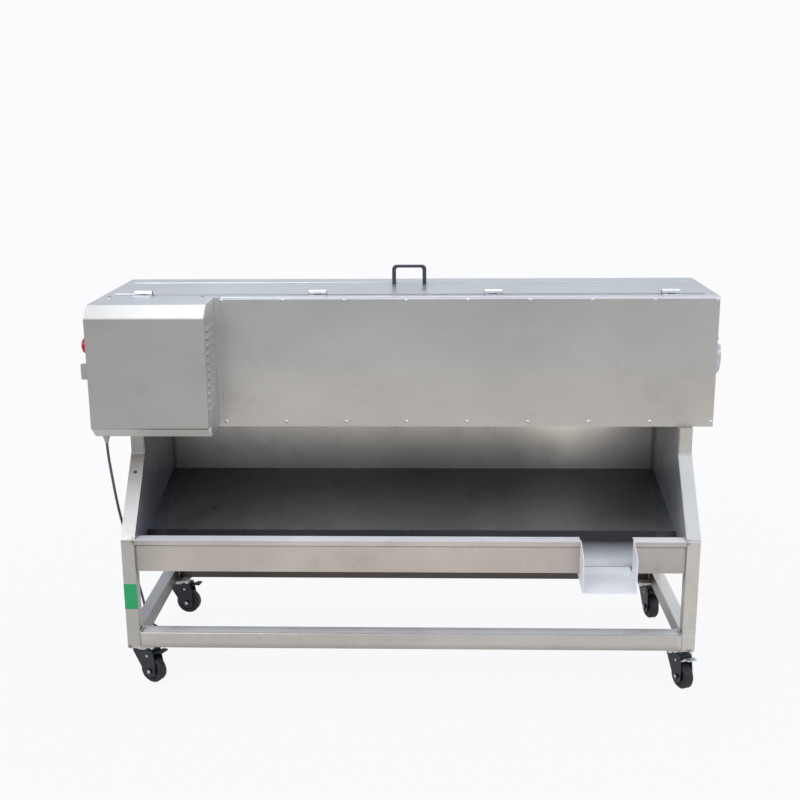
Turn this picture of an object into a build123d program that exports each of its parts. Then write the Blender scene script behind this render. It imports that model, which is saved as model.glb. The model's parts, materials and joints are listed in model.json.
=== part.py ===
from build123d import *
import os
from math import cos, pi, radians, sin, sqrt, tan

os.makedirs("parts", exist_ok=True)

# A vegetable peeling machine: a long closed housing with a hinged lid and a screwed front cover, a
# control box at its left end, an open trough with a discharge chute below it, and a frame of square
# tube on four braked casters. Sizes are in millimetres. +X is to the right as seen from the front,
# +Y runs to the back and +Z is up. The origin lies on the floor below the middle of the machine.

# Frame of square tube
leg_span = 1700.0
frame_depth = 590.0
leg_size = 40.0
rail_size = 50.0
tube_wall = 2.0
tube_corner = 4.0
rim_height = 470.0
slope_reach = 180.0
stub_height = 80.0
end_cap = 5.0
gusset_leg = 42.0
gusset_cut = 10.0

# Housing
overhang_left = 70.0
overhang_right = 62.0
housing_bottom = 764.0
housing_height = 395.0
cover_setback = 198.0
sheet = 2.0
cover_flange = 22.0
bottom_flange = 31.0
chain_space = 58.0
rear_space = 110.0

# Reach of what stands proud of the housing and the frame
collar_reach = 40.0
chute_reach = 70.0

# Trough and chute
rim_depth = 40.0
rim_lip = 15.0
lip_return = 8.0
apron_setback = 12.0
gutter_drop = 102.0
gutter_back = 60.0
slope_foot = 150.0
slope_foot_rise = 79.0
fold_rise = 153.0
chute_offset = 502.0
chute_width = 156.0
chute_lip_drop = 30.0
chute_heel = 49.0
chute_heel_drop = 19.0
chute_front_drop = 29.0
chute_corner = 14.0

# Lid, hinges and handle
lid_front = 249.0
lid_back_inset = 106.0
lid_inset_left = 34.0
lid_inset_right = 34.0
lid_overlap = 15.0
lid_gap = 0.3
lid_tray_depth = 12.0
lid_tray_gap = 5.0
hinge_width = 52.0
hinge_first = 123.0
hinge_last = 137.0
hinge_count = 4
knuckle_radius = 7.0
hinge_pin_radius = 2.5
leaf_thick = 2.5
leaf_reach = 26.0
knuckle_share = 1 / 3
handle_width = 108.0
handle_height = 59.0
handle_leg = 12.0
handle_bar = 8.0
handle_depth = 18.0
handle_corner = 14.0
handle_inner_corner = 8.0
handle_round = 2.5
handle_inset = 20.0
handle_bolt_radius = 3.0

# Front cover screws
screw_count = 9
screw_first = 22.0
screw_last = 6.0
screw_top_drop = 8.5
screw_bottom_rise = 15.5
screw_head_radius = 5.5
screw_head_height = 3.0
screw_shank_radius = 2.5
screw_length = 6.0
hole_clearance = 0.1

# Control box
box_width = 342.0
box_setback = 26.0
bevel_setback = 68.0
box_lift = 5.0
bevel_rise = 35.0
bevel_drop = 31.0
box_flange = 16.0
louvre_count = 11
louvre_pitch = 23.5
louvre_rise = 81.0
louvre_front = 60.0
louvre_length = 100.0
louvre_slot = 5.0
louvre_proud = 5.0
louvre_drop = 12.0
top_bolt_inset = 18.0
top_bolt_left_inset = 36.0
top_bolt_right_inset = 30.0
top_bolt_radius = 7.5
top_bolt_head = 5.0

# Emergency stop, power switch and cable gland on the control box
knob_setback = 91.0
estop_rise = 78.0
estop_head_radius = 22.0
estop_head_depth = 16.0
estop_reach = 28.0
estop_stem_radius = 5.0
estop_stem_length = 29.0
estop_ring_radius = 16.0
estop_ring_depth = 6.0
estop_dome = 5.0
estop_dome_share = 1 / 3
estop_crown_share = 3 / 5
estop_travel = 6.0
panel_hole_radius = 11.0
estop_block = 30.0
estop_block_depth = 42.0
switch_rise = 190.0
switch_reach = 36.0
switch_base_side = 50.0
switch_base_depth = 8.0
switch_block = 42.0
switch_block_depth = 45.0
switch_stem_radius = 4.0
switch_stem_length = 14.0
switch_disc_radius = 22.0
switch_disc_depth = 8.0
switch_grip_length = 48.0
switch_grip_width = 15.0
switch_grip_round = 3.0
running_gap = 0.05
body_gap = 0.3
gland_inset = 27.0
gland_setback = 81.0
gland_nut_radius = 11.0
gland_nut_height = 6.0
gland_cone_height = 17.4
gland_cone_radius = 9.5
gland_hole_radius = 8.0
gland_lock_height = 5.0

# Drive: motor, worm gearbox, feed rollers, chain
roller_count = 5
roller_last = 301.0
shaft_rise = 70.0
shaft_radius = 12.5
drive_shaft_inset = 2.0
feed_shaft_inset = 16.0
feed_shaft_proud = 24.0
roller_margin = 4.0
roller_radius = 58.0
roller_waist = 38.0
roller_shoulder = 12.0
roller_waist_half = 14.0
sleeve_radius = 16.0
sleeve_proud = 2.0
sprocket_teeth = 16
chain_step = 12.7
tooth_height = 5.5
tooth_depth = 4.2
tooth_tip_share = 0.16
tooth_root_share = 0.34
sprocket_inset = 27.0
sprocket_width = 7.0
hub_radius = 22.0
hub_length = 10.0
chain_gap = 0.5
chain_thick = 8.0
chain_width = 14.0
bearing_radius = 26.0
bearing_hole = 20.0
bearing_depth = 12.0
bearing_plate = 64.0
bearing_plate_thick = 4.0
bearing_corner = 12.0
press_head_radius = 18.0
press_head_depth = 8.0
press_nut_depth = 10.0
plate_thick = 4.0
mount_hole_radius = 20.0
gearbox_depth = 130.0
motor_setback = 85.0
gearbox_width = 104.0
gearbox_height = 146.0
gearbox_offset = 50.0
gearbox_corner = 16.0
gearbox_hub_radius = 35.0
gearbox_hub_depth = 6.0
gearbox_clearance = 0.05
motor_flange_radius = 60.0
motor_flange_thick = 10.0
motor_radius = 60.0
motor_fin_radius = 66.0
motor_headroom = 24.0
motor_cowl_radius = 68.0
motor_cowl_length = 30.0
motor_fin_count = 24
motor_fin_thick = 3.0
contactor_width = 45.0
contactor_depth = 70.0
contactor_height = 75.0
contactor_plate_width = 104.0
contactor_plate_height = 150.0
contactor_plate_thick = 3.0
contactor_plate_drop = 32.0
contactor_plate_inset = 6.0
contactor_rail_height = 35.0
contactor_rail_depth = 7.5

# Feed path: collars and knife stations
path_rise = 186.0
collar_radius = 58.0
collar_wall = 4.0
collar_inside = 18.0
collar_flange_radius = 78.0
collar_flange_thick = 3.0
collar_clearance = 0.2
knife_plate_thick = 5.0
knife_plate_height = 200.0
knife_bore = 47.0
blade_count = 6
blade_tip = 34.0
blade_root = 58.0
blade_length = 26.0
blade_thick = 3.0

# Casters
caster_setback = 45.0
caster_inset = 40.0
caster_plate = 80.0
caster_plate_thick = 4.0
caster_plate_corner = 6.0
caster_hole_pitch = 60.0
caster_bolt_radius = 4.0
caster_bolt_length = 10.0
caster_head_radius = 7.5
caster_head_height = 5.3
raceway_radius = 26.0
raceway_height = 12.0
kingpin_radius = 6.0
kingpin_length = 9.0
caster_trail = 30.0
wheel_radius = 40.0
wheel_width = 30.0
hub_disc_radius = 27.0
hub_groove = 3.0
axle_radius = 5.0
axle_head_radius = 8.0
axle_head_height = 5.0
fork_wall = 3.0
fork_inside = 36.0
fork_crown_radius = 25.0
fork_crown_thick = 5.0
crown_gap = 23.7
fork_top_back = 30.0
fork_top_front = 42.0
fork_boss_radius = 21.0
fork_boss_turn = 20.0
tyre_round = 5.0
pedal_pivot_forward = 24.0
pedal_pivot_rise = 10.0
pedal_pin_radius = 3.0
pedal_pin_proud = 2.0
pedal_barrel_radius = 6.5
pedal_width = 30.0
pedal_thick = 4.0
pedal_reach = 52.0
pedal_rise = 17.0
pedal_pad = 14.0
shoe_length = 9.7
shoe_width = 5.0
shoe_turn = -58.0
caster_turns = {"front_left": -25.0, "front_right": -68.0, "rear_left": -10.0, "rear_right": -77.0}

# Power cord: 8 mm flexible cable, put away as a flat coil of two layers on the floor
cord_radius = 4.0
cord_arc_share = 0.45
coil_x = -596.0
coil_y = 58.0
coil_radius = 50.0
coil_quarters = 9
coil_spacing = 8.6
coil_lead = 10.0
coil_tail = 66.0
plug_length = 44.0
plug_width = 38.0
plug_thick = 25.6
plug_corner = 8.0
plug_neck_length = 12.0
plug_neck_radius = 7.0
pin_length = 18.0
pin_width = 6.3
pin_thick = 2.0
pin_spread = 7.0

# One overrun serves every cut
overrun = 5.0

# Places worked out from the sizes above
rail_bottom = (
    2 * wheel_radius + crown_gap + fork_crown_thick + body_gap + raceway_height + caster_plate_thick
)
pedal_pivot_height = 2 * wheel_radius + pedal_pivot_rise
slope_top = housing_bottom - stub_height
housing_top = housing_bottom + housing_height
gutter_height = rim_height - gutter_drop
slope_foot_height = gutter_height + slope_foot_rise
fold_height = gutter_height + fold_rise
lip_height = rim_height - rim_lip
chute_lip_height = gutter_height - chute_lip_drop
chute_heel_height = gutter_height - chute_heel_drop
chute_front_height = rim_height - chute_front_drop
box_bottom = housing_bottom + box_lift
box_face_bottom = box_bottom + bevel_rise
box_face_top = housing_top - bevel_drop
louvre_first = box_bottom + louvre_rise
switch_height = box_bottom + switch_rise
estop_height = switch_height + estop_rise
path_height = housing_bottom + path_rise
drive_shaft_height = path_height - shaft_rise
press_shaft_height = path_height + shaft_rise
mid_x = (overhang_left - overhang_right) / 2
front_y = (chute_reach - frame_depth) / 2
left_out = mid_x - leg_span / 2
right_out = mid_x + leg_span / 2
left_in = left_out + leg_size
right_in = right_out - leg_size
back_y = front_y + frame_depth
back_leg_y = back_y - leg_size
house_left = left_out - overhang_left
house_right = right_out + overhang_right
cover_y = front_y + cover_setback
flange_y = cover_y + sheet
chain_wall_y = cover_y + chain_space
rear_wall_y = back_y - rear_space
inner_left = house_left + sheet
inner_right = house_right - sheet
house_floor = housing_bottom + sheet
deck_under = housing_top - sheet
box_right = house_left + box_width
path_y = (chain_wall_y + sheet + rear_wall_y - sheet) / 2
chute_left = mid_x + chute_offset
chute_right = chute_left + chute_width
first_roller_x = (house_left + box_right) / 2
roller_pitch = (house_right - roller_last - first_roller_x) / (roller_count - 1)
roller_x = [first_roller_x + i * roller_pitch for i in range(roller_count)]
hinge_pitch = (house_right - hinge_last - house_left - hinge_first) / (hinge_count - 1)
hinge_x = [house_left + hinge_first + i * hinge_pitch for i in range(hinge_count)]
screw_pitch = (house_right - screw_last - box_right - screw_first) / (screw_count - 1)
screw_x = [box_right + screw_first + i * screw_pitch for i in range(screw_count)]
screw_z = [housing_bottom + screw_bottom_rise, housing_top - screw_top_drop]
open_left = house_left + lid_inset_left + lid_overlap
open_right = house_right - lid_inset_right - lid_overlap
open_front = front_y + lid_front + lid_overlap
lid_back_y = back_y - lid_back_inset
open_back = lid_back_y - lid_overlap
lid_under = housing_top + lid_gap
lid_top = lid_under + sheet
sprocket_radius = chain_step / (2 * sin(pi / sprocket_teeth))
caster_places = {
    "front_left": (left_out + caster_inset, front_y + caster_setback),
    "front_right": (right_out - caster_inset, front_y + caster_setback),
    "rear_left": (left_out + caster_inset, back_y - caster_setback),
    "rear_right": (right_out - caster_inset, back_y - caster_setback),
}
caster_hole_offsets = [
    (i * caster_hole_pitch / 2, j * caster_hole_pitch / 2) for i in (-1, 1) for j in (-1, 1)
]
caster_holes = [
    (x + dx, y + dy) for x, y in caster_places.values() for dx, dy in caster_hole_offsets
]
bolt_hole_radius = caster_bolt_radius + hole_clearance


def block(x, y, z, mode=Mode.ADD):
    """A box between two limits on each axis."""
    with Locations(((x[0] + x[1]) / 2, (y[0] + y[1]) / 2, (z[0] + z[1]) / 2)):
        Box(x[1] - x[0], y[1] - y[0], z[1] - z[0], mode=mode)


def along_y(x, z, radius, start, end, mode=Mode.ADD):
    """A cylinder whose axis runs along Y."""
    with Locations(Location((x, (start + end) / 2, z), (90, 0, 0))):
        Cylinder(radius, end - start, mode=mode)


def along_x(y, z, radius, start, end, mode=Mode.ADD):
    """A cylinder whose axis runs along X."""
    with Locations(Location(((start + end) / 2, y, z), (0, 90, 0))):
        Cylinder(radius, end - start, mode=mode)


def along_z(x, y, radius, start, end, mode=Mode.ADD):
    """An upright cylinder."""
    with Locations((x, y, (start + end) / 2)):
        Cylinder(radius, end - start, mode=mode)


def profile_x(points, start, end, mode=Mode.ADD):
    """A prism along X from an outline of (y, z) points."""
    with BuildSketch(Plane.YZ.offset(start)) as outline:
        with BuildLine():
            Polyline(*points, close=True)
        make_face()
    extrude(outline.sketch, amount=end - start, mode=mode)


def folded_x(points, side, start, end):
    """A folded sheet along X: a line of (y, z) points given the sheet's thickness on one side."""
    with BuildSketch(Plane.YZ.offset(start)) as outline:
        with BuildLine():
            Polyline(*points)
            offset(amount=sheet, side=side, kind=Kind.INTERSECTION)
        make_face()
    extrude(outline.sketch, amount=end - start)


# Legs: two short ones in front up to the trough's rim, two long ones behind up to the housing
leg_x = (left_out + leg_size / 2, right_out - leg_size / 2)
with BuildPart() as legs:
    for y, top in ((front_y, rim_height), (back_leg_y, housing_bottom)):
        with BuildSketch(Plane.XY.offset(rail_bottom)):
            with Locations(*[(x, y + leg_size / 2) for x in leg_x]):
                RectangleRounded(leg_size, leg_size, tube_corner)
        extrude(amount=top - rail_bottom)
        with BuildSketch(Plane.XY.offset(rail_bottom + end_cap)):
            with Locations(*[(x, y + leg_size / 2) for x in leg_x]):
                RectangleRounded(leg_size - 2 * tube_wall, leg_size - 2 * tube_wall, tube_corner - tube_wall)
        extrude(amount=top - rail_bottom, mode=Mode.SUBTRACT)
    for x, y in caster_holes:
        along_z(x, y, bolt_hole_radius, rail_bottom - overrun, rail_bottom + end_cap + overrun, Mode.SUBTRACT)
legs.part.label = "legs"
export_step(legs.part, "parts/legs.step")

# Lower rails between the legs, with a gusset plate in each inner corner for the caster bolts
with BuildPart() as lower_rails:
    rail_middle = rail_bottom + rail_size / 2
    with BuildSketch(Plane.YZ.offset(left_in)):
        with Locations((front_y + rail_size / 2, rail_middle), (back_y - rail_size / 2, rail_middle)):
            RectangleRounded(rail_size, rail_size, tube_corner)
            RectangleRounded(
                rail_size - 2 * tube_wall, rail_size - 2 * tube_wall, tube_corner - tube_wall, mode=Mode.SUBTRACT
            )
    extrude(amount=right_in - left_in)
    with BuildSketch(Plane.XZ.offset(-front_y - leg_size)):
        with Locations(*[(x, rail_middle) for x in leg_x]):
            RectangleRounded(leg_size, rail_size, tube_corner)
            RectangleRounded(
                leg_size - 2 * tube_wall, rail_size - 2 * tube_wall, tube_corner - tube_wall, mode=Mode.SUBTRACT
            )
    extrude(amount=-(frame_depth - 2 * leg_size))
    for x, step_x in ((left_in, 1), (right_in, -1)):
        for y, step_y in ((front_y + rail_size, 1), (back_y - rail_size, -1)):
            with BuildSketch(Plane.XY.offset(rail_bottom)) as gusset:
                with BuildLine():
                    Polyline(
                        (x, y),
                        (x + step_x * gusset_leg, y),
                        (x + step_x * gusset_leg, y + step_y * (gusset_leg - gusset_cut)),
                        (x + step_x * (gusset_leg - gusset_cut), y + step_y * gusset_leg),
                        (x, y + step_y * gusset_leg),
                        close=True,
                    )
                make_face()
            extrude(gusset.sketch, amount=end_cap)
    for x, y in caster_holes:
        along_z(x, y, bolt_hole_radius, rail_bottom - overrun, rail_bottom + end_cap + overrun, Mode.SUBTRACT)
lower_rails.part.label = "lower_rails"
export_step(lower_rails.part, "parts/lower_rails.step")

# Slanted tubes from the front legs up to the housing, each ending in an upright stub
slope_y = front_y + slope_reach
slope_run = sqrt(slope_reach**2 + (slope_top - rim_height) ** 2)
slope_wall_y = tube_wall * slope_run / (slope_top - rim_height)
slope_tan = slope_reach / (slope_top - rim_height)
with BuildPart() as slanted_tubes:
    for x in (left_out, right_in):
        profile_x(
            [
                (front_y, rim_height),
                (front_y + leg_size, rim_height),
                (slope_y + leg_size, slope_top),
                (slope_y, slope_top),
            ],
            x,
            x + leg_size,
        )
        low = rim_height - overrun
        high = slope_top + overrun
        profile_x(
            [
                (front_y + slope_wall_y - overrun * slope_tan, low),
                (front_y + leg_size - slope_wall_y - overrun * slope_tan, low),
                (slope_y + leg_size - slope_wall_y + overrun * slope_tan, high),
                (slope_y + slope_wall_y + overrun * slope_tan, high),
            ],
            x + tube_wall,
            x + leg_size - tube_wall,
            Mode.SUBTRACT,
        )
    with BuildSketch(Plane.XY.offset(slope_top)):
        with Locations(*[(x, slope_y + leg_size / 2) for x in leg_x]):
            RectangleRounded(leg_size, leg_size, tube_corner)
            RectangleRounded(
                leg_size - 2 * tube_wall, leg_size - 2 * tube_wall, tube_corner - tube_wall, mode=Mode.SUBTRACT
            )
    extrude(amount=housing_bottom - slope_top)
slanted_tubes.part.label = "slanted_tubes"
export_step(slanted_tubes.part, "parts/slanted_tubes.step")

# Trough pan: rim, recessed front apron, gutter, steep foot, long sloping floor and back wall
apron_y = front_y + apron_setback
pan_line = [
    (apron_y, rim_height - sheet),
    (apron_y, gutter_height),
    (front_y + gutter_back, gutter_height),
    (front_y + slope_foot, slope_foot_height),
    (back_leg_y, fold_height),
    (back_leg_y, house_floor - sheet),
]
pan_left = left_in + sheet
pan_right = right_in - sheet
with BuildPart() as trough_pan:
    folded_x(pan_line, Side.LEFT, pan_left, pan_right)
    block((pan_left, pan_right), (front_y, front_y + rim_depth), (rim_height - sheet, rim_height))
    block((pan_left, pan_right), (front_y, front_y + sheet), (lip_height, rim_height))
    profile_x(
        [
            (front_y, lip_height),
            (apron_y, lip_height - lip_return),
            (apron_y, lip_height - lip_return + sheet),
            (front_y, lip_height + sheet),
        ],
        pan_left,
        pan_right,
    )
    block(
        (chute_left, chute_right),
        (front_y - overrun, front_y + gutter_back),
        (gutter_height - overrun, rim_height + overrun),
        Mode.SUBTRACT,
    )
trough_pan.part.label = "trough_pan"
export_step(trough_pan.part, "parts/trough_pan.step")

# End plates that close the trough left and right, cut along the slanted tubes
end_outline = [
    (front_y, lip_height),
    (apron_y, lip_height - lip_return),
    (apron_y, gutter_height),
    (front_y + gutter_back, gutter_height),
    (front_y + slope_foot, slope_foot_height),
    (back_leg_y, fold_height),
    (back_leg_y, housing_bottom),
    (slope_y, housing_bottom),
    (slope_y, slope_top),
    (front_y, rim_height),
]
with BuildPart() as trough_end_plates:
    profile_x(end_outline, left_in, pan_left)
    profile_x(end_outline, pan_right, right_in)
trough_end_plates.part.label = "trough_end_plates"
export_step(trough_end_plates.part, "parts/trough_end_plates.step")

# Discharge chute: an open channel that takes the gutter's flow out through the front
chute_front = front_y - chute_reach
heel_y = front_y + chute_heel
with BuildPart() as discharge_chute:
    folded_x(
        [
            (chute_front, chute_lip_height),
            (heel_y, chute_heel_height),
            (front_y + gutter_back, gutter_height),
        ],
        Side.LEFT,
        chute_left,
        chute_right,
    )
    wall_outline = [
        (chute_front, chute_lip_height),
        (heel_y, chute_heel_height),
        (front_y + gutter_back, gutter_height),
        (apron_y + sheet, gutter_height),
        (apron_y + sheet, rim_height),
        (front_y, rim_height),
        (chute_front + chute_corner, chute_front_height + chute_corner / 2),
        (chute_front, chute_front_height),
    ]
    profile_x(wall_outline, chute_left, chute_left + sheet)
    profile_x(wall_outline, chute_right - sheet, chute_right)
    block(
        (chute_left - overrun, chute_right + overrun),
        (chute_front - overrun, chute_front),
        (chute_lip_height - overrun, chute_front_height),
        Mode.SUBTRACT,
    )
discharge_chute.part.label = "discharge_chute"
export_step(discharge_chute.part, "parts/discharge_chute.step")

# Chain wall: the inner wall behind the front cover, with the compartment's floor and the lower flange
with BuildPart() as chain_wall:
    block((inner_left, inner_right), (chain_wall_y, chain_wall_y + sheet), (house_floor, deck_under))
    block((inner_left, inner_right), (cover_y + plate_thick, chain_wall_y + sheet), (housing_bottom, house_floor))
    block((box_right, inner_right), (flange_y, cover_y + plate_thick), (housing_bottom, house_floor))
    block((box_right, inner_right), (flange_y, flange_y + sheet), (house_floor, housing_bottom + bottom_flange))
    for x in roller_x:
        along_y(x, drive_shaft_height, bearing_hole, chain_wall_y - overrun, chain_wall_y + overrun, Mode.SUBTRACT)
        along_y(x, press_shaft_height, shaft_radius, chain_wall_y - overrun, chain_wall_y + overrun, Mode.SUBTRACT)
    for x in screw_x:
        along_y(
            x,
            screw_z[0],
            screw_shank_radius + hole_clearance,
            flange_y - overrun,
            flange_y + 2 * overrun,
            Mode.SUBTRACT,
        )
chain_wall.part.label = "chain_wall"
export_step(chain_wall.part, "parts/chain_wall.step")

# Rear wall of the feed channel, with the floor of the space behind it
with BuildPart() as channel_rear_wall:
    block((inner_left, inner_right), (rear_wall_y - sheet, rear_wall_y), (house_floor, deck_under))
    block((inner_left, inner_right), (rear_wall_y - sheet, back_y - sheet), (housing_bottom, house_floor))
    for x in roller_x:
        along_y(x, drive_shaft_height, bearing_hole, rear_wall_y - overrun, rear_wall_y + overrun, Mode.SUBTRACT)
        along_y(x, press_shaft_height, shaft_radius, rear_wall_y - overrun, rear_wall_y + overrun, Mode.SUBTRACT)
channel_rear_wall.part.label = "channel_rear_wall"
export_step(channel_rear_wall.part, "parts/channel_rear_wall.step")

# Rear panel of the housing
with BuildPart() as rear_panel:
    block((inner_left, inner_right), (back_y - sheet, back_y), (housing_bottom, deck_under))
rear_panel.part.label = "rear_panel"
export_step(rear_panel.part, "parts/rear_panel.step")

# End plates of the housing, each with a round opening for the vegetables
with BuildPart() as housing_end_plates:
    for start, front in ((house_left, cover_y), (inner_right, flange_y)):
        block((start, start + sheet), (front, back_y), (housing_bottom, housing_top))
        along_x(
            path_y,
            path_height,
            collar_radius + collar_clearance,
            start - overrun,
            start + sheet + overrun,
            Mode.SUBTRACT,
        )
housing_end_plates.part.label = "housing_end_plates"
export_step(housing_end_plates.part, "parts/housing_end_plates.step")

# Top deck around the lid's opening, its front edge turned down behind the cover
with BuildPart() as top_deck:
    block((inner_left, inner_right), (cover_y, back_y), (deck_under, housing_top))
    block((inner_right, house_right), (cover_y, flange_y), (deck_under, housing_top))
    block((box_right, inner_right), (flange_y, flange_y + sheet), (housing_top - cover_flange, deck_under))
    block(
        (open_left, open_right),
        (open_front, open_back),
        (deck_under - overrun, housing_top + overrun),
        Mode.SUBTRACT,
    )
    for x in screw_x:
        along_y(
            x,
            screw_z[1],
            screw_shank_radius + hole_clearance,
            flange_y - overrun,
            flange_y + 2 * overrun,
            Mode.SUBTRACT,
        )
top_deck.part.label = "top_deck"
export_step(top_deck.part, "parts/top_deck.step")

# Front cover over the chain, held by two rows of screws
with BuildPart() as front_cover:
    block((box_right, house_right), (cover_y, flange_y), (housing_bottom, deck_under))
    for x in screw_x:
        for z in screw_z:
            along_y(
                x, z, screw_shank_radius + hole_clearance, cover_y - overrun, flange_y + overrun, Mode.SUBTRACT
            )
front_cover.part.label = "front_cover"
export_step(front_cover.part, "parts/front_cover.step")

# Domed cover screws, and the two hexagon bolts that hold the control box's top
top_bolt_y = cover_y - top_bolt_inset
top_bolt_x = [house_left + top_bolt_left_inset, box_right - top_bolt_right_inset]
with BuildPart() as cover_screws:
    for x in screw_x:
        for z in screw_z:
            screw_plane = Plane(origin=(x, cover_y, z), x_dir=(1, 0, 0), z_dir=(0, 1, 0))
            with BuildSketch(Plane(origin=(x, cover_y, z), x_dir=(0, 1, 0), z_dir=(1, 0, 0))) as dome:
                with BuildLine():
                    ThreePointArc(
                        (-screw_head_height, 0),
                        (-screw_head_height * sqrt(3) / 2, screw_head_radius / 2),
                        (0, screw_head_radius),
                    )
                    Polyline(
                        (0, screw_head_radius),
                        (0, screw_shank_radius),
                        (screw_length, screw_shank_radius),
                        (screw_length, 0),
                        (-screw_head_height, 0),
                    )
                make_face()
            revolve(dome.sketch, Axis(screw_plane.origin, screw_plane.z_dir))
    for x in top_bolt_x:
        with BuildSketch(Plane.XY.offset(housing_top)) as bolt_head:
            with Locations((x, top_bolt_y)):
                RegularPolygon(top_bolt_radius, 6)
        extrude(bolt_head.sketch, amount=top_bolt_head)
        along_z(x, top_bolt_y, screw_shank_radius, housing_top - screw_length, housing_top)
cover_screws.part.label = "cover_screws"
export_step(cover_screws.part, "parts/cover_screws.step")

# Control box: a folded shell open to the back, with louvres in its right side
box_y = front_y + box_setback
bevel_y = front_y + bevel_setback
box_outline = [
    (cover_y, box_bottom),
    (bevel_y, box_bottom),
    (box_y, box_face_bottom),
    (box_y, box_face_top),
    (bevel_y, housing_top),
    (cover_y, housing_top),
]
box_inner = [
    (cover_y + overrun, box_bottom + sheet),
    (bevel_y + sheet / 2, box_bottom + sheet),
    (box_y + sheet, box_face_bottom + sheet / 2),
    (box_y + sheet, box_face_top - sheet / 2),
    (bevel_y + sheet / 2, deck_under),
    (cover_y + overrun, deck_under),
]
louvre_y = front_y + louvre_front
gland_x = house_left + gland_inset
gland_y = front_y + gland_setback
knob_y = front_y + knob_setback
with BuildPart() as control_box:
    profile_x(box_outline, house_left, box_right)
    profile_x(box_inner, inner_left, box_right - sheet, Mode.SUBTRACT)
    block((box_right, box_right + box_flange), (cover_y - sheet, cover_y), (box_bottom, housing_top))
    block((box_right - sheet, box_right), (cover_y - sheet, cover_y), (box_bottom, housing_top))
    for i in range(louvre_count):
        z = louvre_first + i * louvre_pitch
        with BuildSketch(Plane.XZ.offset(-louvre_y)) as hood:
            with BuildLine():
                Polyline(
                    (box_right, z),
                    (box_right + louvre_proud, z),
                    (box_right, z + louvre_drop),
                    close=True,
                )
            make_face()
        extrude(hood.sketch, amount=-louvre_length)
        block(
            (box_right - sheet - overrun, box_right + louvre_proud / 2),
            (louvre_y + sheet, louvre_y + louvre_length - sheet),
            (z - overrun, z + louvre_slot - sheet),
            Mode.SUBTRACT,
        )
    for x in top_bolt_x:
        along_z(
            x,
            top_bolt_y,
            screw_shank_radius + hole_clearance,
            deck_under - overrun,
            housing_top + overrun,
            Mode.SUBTRACT,
        )
    along_z(gland_x, gland_y, gland_hole_radius, box_bottom - overrun, box_bottom + sheet + overrun, Mode.SUBTRACT)
    for z in (estop_height, switch_height):
        along_x(knob_y, z, panel_hole_radius, house_left - overrun, inner_left + overrun, Mode.SUBTRACT)
control_box.part.label = "control_box"
export_step(control_box.part, "parts/control_box.step")

# Mounting plate behind the control box, which carries the gearbox and the contactor
with BuildPart() as gearbox_plate:
    block((inner_left, box_right), (cover_y, cover_y + plate_thick), (housing_bottom, deck_under))
    along_y(
        first_roller_x,
        drive_shaft_height,
        mount_hole_radius,
        cover_y - overrun,
        cover_y + plate_thick + overrun,
        Mode.SUBTRACT,
    )
gearbox_plate.part.label = "gearbox_plate"
export_step(gearbox_plate.part, "parts/gearbox_plate.step")

# Worm gearbox with a hollow output that the first feed shaft runs in
gear_x = (first_roller_x - gearbox_width / 2, first_roller_x + gearbox_width / 2)
gear_z = (drive_shaft_height - gearbox_height / 2, drive_shaft_height + gearbox_height / 2)
motor_x = first_roller_x + gearbox_offset
motor_y = cover_y - motor_setback
with BuildPart() as worm_gearbox:
    with BuildSketch(Plane.XZ.offset(-cover_y)) as casting:
        with Locations((first_roller_x + gearbox_offset / 2, drive_shaft_height)):
            RectangleRounded(gearbox_width + gearbox_offset, gearbox_height, gearbox_corner)
    extrude(casting.sketch, amount=gearbox_depth)
    along_y(
        first_roller_x,
        drive_shaft_height,
        gearbox_hub_radius,
        cover_y - gearbox_depth - gearbox_hub_depth,
        cover_y - gearbox_depth,
    )
    along_y(
        first_roller_x,
        drive_shaft_height,
        shaft_radius + gearbox_clearance,
        cover_y - gearbox_depth - 2 * overrun - gearbox_hub_depth,
        cover_y + overrun,
        Mode.SUBTRACT,
    )
worm_gearbox.part.label = "worm_gearbox"
export_step(worm_gearbox.part, "parts/worm_gearbox.step")

# Motor: flange, finned body and fan cowl, upright on the gearbox
motor_bottom = gear_z[1]
body_bottom = motor_bottom + motor_flange_thick
cowl_bottom = deck_under - motor_headroom - motor_cowl_length
with BuildPart() as drive_motor:
    along_z(motor_x, motor_y, motor_flange_radius, motor_bottom, body_bottom)
    along_z(motor_x, motor_y, motor_radius, body_bottom, cowl_bottom)
    with Locations((motor_x, motor_y, (body_bottom + cowl_bottom) / 2)):
        with PolarLocations(0, motor_fin_count):
            Box(2 * motor_fin_radius, motor_fin_thick, cowl_bottom - body_bottom - 2 * motor_flange_thick)
    along_z(motor_x, motor_y, motor_cowl_radius, cowl_bottom, cowl_bottom + motor_cowl_length)
drive_motor.part.label = "drive_motor"
export_step(drive_motor.part, "parts/drive_motor.step")

# Contactor on its rail and plate, beside the motor
contactor_x = inner_left + contactor_plate_inset
contactor_back = cover_y - contactor_plate_thick
contactor_plate_bottom = deck_under - contactor_plate_drop - contactor_plate_height
contactor_middle = contactor_plate_bottom + contactor_plate_height / 2
with BuildPart() as contactor:
    block(
        (contactor_x, contactor_x + contactor_plate_width),
        (contactor_back, cover_y),
        (contactor_plate_bottom, contactor_plate_bottom + contactor_plate_height),
    )
    block(
        (contactor_x, contactor_x + contactor_plate_width),
        (contactor_back - contactor_rail_depth, contactor_back),
        (contactor_middle - contactor_rail_height / 2, contactor_middle + contactor_rail_height / 2),
    )
    block(
        (contactor_x + contactor_width, contactor_x + 2 * contactor_width),
        (contactor_back - contactor_rail_depth - contactor_depth, contactor_back - contactor_rail_depth),
        (contactor_middle - contactor_height / 2, contactor_middle + contactor_height / 2),
    )
contactor.part.label = "contactor"
export_step(contactor.part, "parts/contactor.step")

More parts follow.
